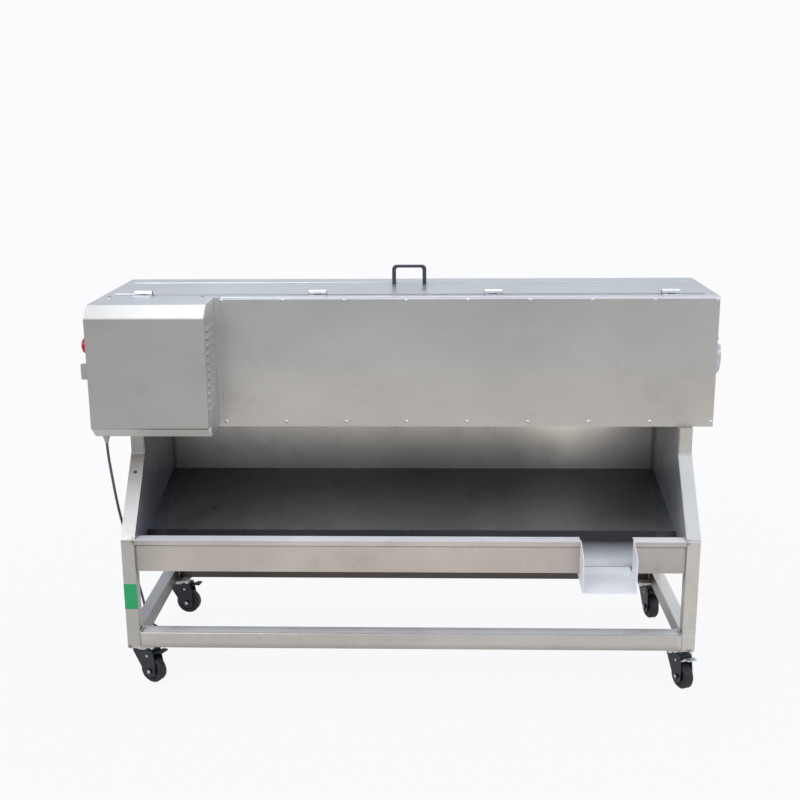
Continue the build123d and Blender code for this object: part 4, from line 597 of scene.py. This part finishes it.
# Cross recesses of the cover screws, dark with painted shade
screw_head = 0.0029
points = [(x, cover_y - screw_head, z) for x in screw_x for z in screw_z]
grow("screw_recesses", cross_tree, points, [], {"Length": 0.0052, "Width": 0.0011}, "pin_end")

# Rivets of the hinge leaves and ends of the hinge pins
leaf_middle, lid_leaf, rivet_pitch, pin_reach = 0.023, 0.0025, 0.017, 0.026
upwards = (0, 0, 1)
for name, y, z, body in (
    ("deck_leaf_rivets", hinge_y - leaf_middle, deck_leaf_top, "machine"),
    ("lid_leaf_rivets", hinge_y + leaf_middle, lid_top + lid_leaf, "lid"),
):
    points = [(x + dx, y, z) for x in hinge_x for dx in (-rivet_pitch, 0, rivet_pitch)]
    grow_domes(name, points, 0.0026, 0.0009, upwards, "bright_screws", body)
points = [(x + dx, hinge_y, hinge_z) for x in hinge_x for dx in (-pin_reach, pin_reach)]
grow_domes("hinge_pin_ends", points, 0.0058, 0.0012, (1, 0, 0), "pin_end")

# Sockets in the heads of the two bolts on the control box: dark domes as painted shade
points = [(x, bolt_y, bolt_top) for x in bolt_x]
grow_domes("bolt_sockets", points, 0.0052, 0.0008, upwards, "pin_end")

# Caster details: caps on the axle bolts, heads of the pedal pins
axle_reach, pin_head_reach = 0.026, 0.023
for place, (x, y, angle) in casters.items():
    a = math.radians(angle)
    along, across = Vector((math.cos(a), math.sin(a), 0)), Vector((math.sin(a), -math.cos(a), 0))
    centre = Vector((x, y, wheel_z)) + along * caster_trail
    pivot = Vector((x, y, pedal_z)) + along * pedal_forward
    points = [centre + across * axle_reach, centre - across * axle_reach]
    grow_domes(f"axle_caps_{place}", points, 0.0062, 0.0022, across, "caster_zinc", f"fork_{place}")
    points = [pivot + across * pin_head_reach, pivot - across * pin_head_reach]
    grow_domes(f"pedal_pin_heads_{place}", points, 0.0045, 0.0018, across,
               "caster_zinc", f"pedal_{place}")

# Blanking plug in the hole of the left slanted tube, square to its front face
grow_domes("tube_plug", [plug_place], 0.0055, 0.0012, slope_normal, "pin_end")


# Single pieces built from rounded boxes
def add_mesh(name, bm, finish, body="machine"):
    mesh = bpy.data.meshes.new(name)
    bm.to_mesh(mesh)
    bm.free()
    obj = bpy.data.objects.new(name, mesh)
    scene.collection.objects.link(obj)
    mesh.materials.append(finishes[finish])
    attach(obj, body)


def rounded_box(bm, low, high, bevel, segments=2):
    made = bmesh.ops.create_cube(bm, size=1.0)["verts"]
    for v in made:
        v.co = Vector([low[i] if v.co[i] < 0 else high[i] for i in range(3)])
    edges = {e for v in made for e in v.link_edges}
    bmesh.ops.bevel(bm, geom=list(edges), offset=bevel, segments=segments, affect="EDGES", profile=0.5)


# Plain green sticker on the front of the left leg
sticker_low, sticker_high, sticker_margin = 0.251, 0.331, 0.0005
sticker_proud, sticker_sunk = 0.0005, 0.0002
bm = bmesh.new()
rounded_box(bm, (left_out + sticker_margin, front_y - sticker_proud, sticker_low),
            (left_in - sticker_margin, front_y + sticker_sunk, sticker_high), 0.0002, 1)
add_mesh("leg_sticker", bm, "label_green")

# Caps in the mouths of the upright stubs
cap_margin, cap_low, cap_high = 0.0018, 0.7616, 0.7638
bm = bmesh.new()
for low_x, high_x in ((left_out, left_in), (right_in, right_out)):
    rounded_box(bm, (low_x + cap_margin, stub_front + cap_margin, cap_low),
                (high_x - cap_margin, stub_back - cap_margin, cap_high), 0.0004, 1)
add_mesh("stub_caps", bm, "frame_steel")

# Hemmed edges of the lid: a short front one left of the first hinge, and all of the rear one; their bright steel
# is a painted highlight on the hems
hem_left, hem_sunk, hem_rise = -0.882, 0.0005, 0.0018
bm = bmesh.new()
for hem_right, hem_front, hem_back in ((-0.8, -0.011, -0.0075), (0.882, 0.2205, 0.224)):
    rounded_box(bm, (hem_left, hem_front, lid_top - hem_sunk), (hem_right, hem_back, lid_top + hem_rise), 0.0008)
add_mesh("lid_hems", bm, "hinge_steel", "lid")

# Folded top edge of the front cover, in bright steel: a painted highlight on its bend
fold_low, fold_high = (-0.553, -0.0625, 1.1578), (0.9155, -0.0545, 1.1602)
bm = bmesh.new()
rounded_box(bm, fold_low, fold_high, 0.0009)
add_mesh("cover_fold", bm, "hinge_steel")

# Studio: white backdrop, a pale floor that keeps a soft shadow, and soft lamps
backdrop = lin(0.985, 0.985, 0.99)
sky_light, glossy_extra = 0.72, 0.24
world = bpy.data.worlds.new("world")
scene.world = world
world.use_nodes = True
wt = world.node_tree
wt.nodes.clear()
rays = wt.nodes.new("ShaderNodeLightPath").outputs
height = node(wt, "ShaderNodeSeparateXYZ", {0: node(wt, "ShaderNodeTexCoord").outputs["Generated"]}).outputs[2]
sky = mix(wt, ramp(wt, height, 0.0, 0.35), lin(0.93, 0.915, 0.89), lin(0.90, 0.94, 1.0))
strength = maths(wt, "ADD", sky_light, maths(wt, "MULTIPLY", rays["Is Glossy Ray"], glossy_extra))
lit = node(wt, "ShaderNodeBackground", {"Color": sky, "Strength": strength})
white = node(wt, "ShaderNodeBackground", {"Color": backdrop, "Strength": 1.0})
seen = maths(wt, "MAXIMUM", rays["Is Camera Ray"], rays["Is Transmission Ray"])
both = node(wt, "ShaderNodeMixShader", {0: seen, 1: lit.outputs[0], 2: white.outputs[0]})
wt.links.new(both.outputs[0], wt.nodes.new("ShaderNodeOutputWorld").inputs[0])

# The floor glows like the backdrop far from the machine, and a little less beside it
glow_near, glow_far, glow_start, glow_end, glossy_glow = 0.95, 1.0, 1.1, 2.8, 0.4
bpy.ops.mesh.primitive_plane_add(size=60.0, location=(0, 0, 0))
floor = bpy.context.object
floor.name = "floor"
floor_finish = bpy.data.materials.new("floor")
floor_finish.use_nodes = True
ft = floor_finish.node_tree
ft.nodes.clear()
rays = ft.nodes.new("ShaderNodeLightPath").outputs
share = ramp(ft, distance(ft, object_place(ft), (0, 0, 0)), glow_start, glow_end, glow_near, glow_far)
glossy = maths(ft, "MULTIPLY", rays["Is Glossy Ray"], glossy_glow)
share = maths(ft, "MULTIPLY", share, maths(ft, "MAXIMUM", rays["Is Camera Ray"], glossy))
plain = node(ft, "ShaderNodeBsdfDiffuse", {"Color": lin(0.93, 0.93, 0.935)})
glow = node(ft, "ShaderNodeEmission", {"Color": backdrop, "Strength": 1.0})
both = node(ft, "ShaderNodeMixShader", {0: share, 1: plain.outputs[0], 2: glow.outputs[0]})
ft.links.new(both.outputs[0], ft.nodes.new("ShaderNodeOutputMaterial").inputs[0])
floor.data.materials.append(floor_finish)


def lamp(name, place, target, size, power):
    data = bpy.data.lights.new(name, "AREA")
    data.shape = "RECTANGLE"
    data.size, data.size_y = size
    data.energy = power
    obj = bpy.data.objects.new(name, data)
    scene.collection.objects.link(obj)
    way = Vector(target) - Vector(place)
    obj.matrix_world = Matrix.Translation(place) @ way.to_track_quat("-Z", "Y").to_matrix().to_4x4()


lamp("key", (-2.2, -3.0, 3.6), (0, 0, 0.7), (2.4, 1.6), 52)
lamp("top", (0.3, 0.6, 4.0), (0, 0, 0.7), (3.0, 2.0), 45)
lamp("fill", (2.8, -2.4, 2.2), (0, 0, 0.6), (2.0, 2.0), 18)
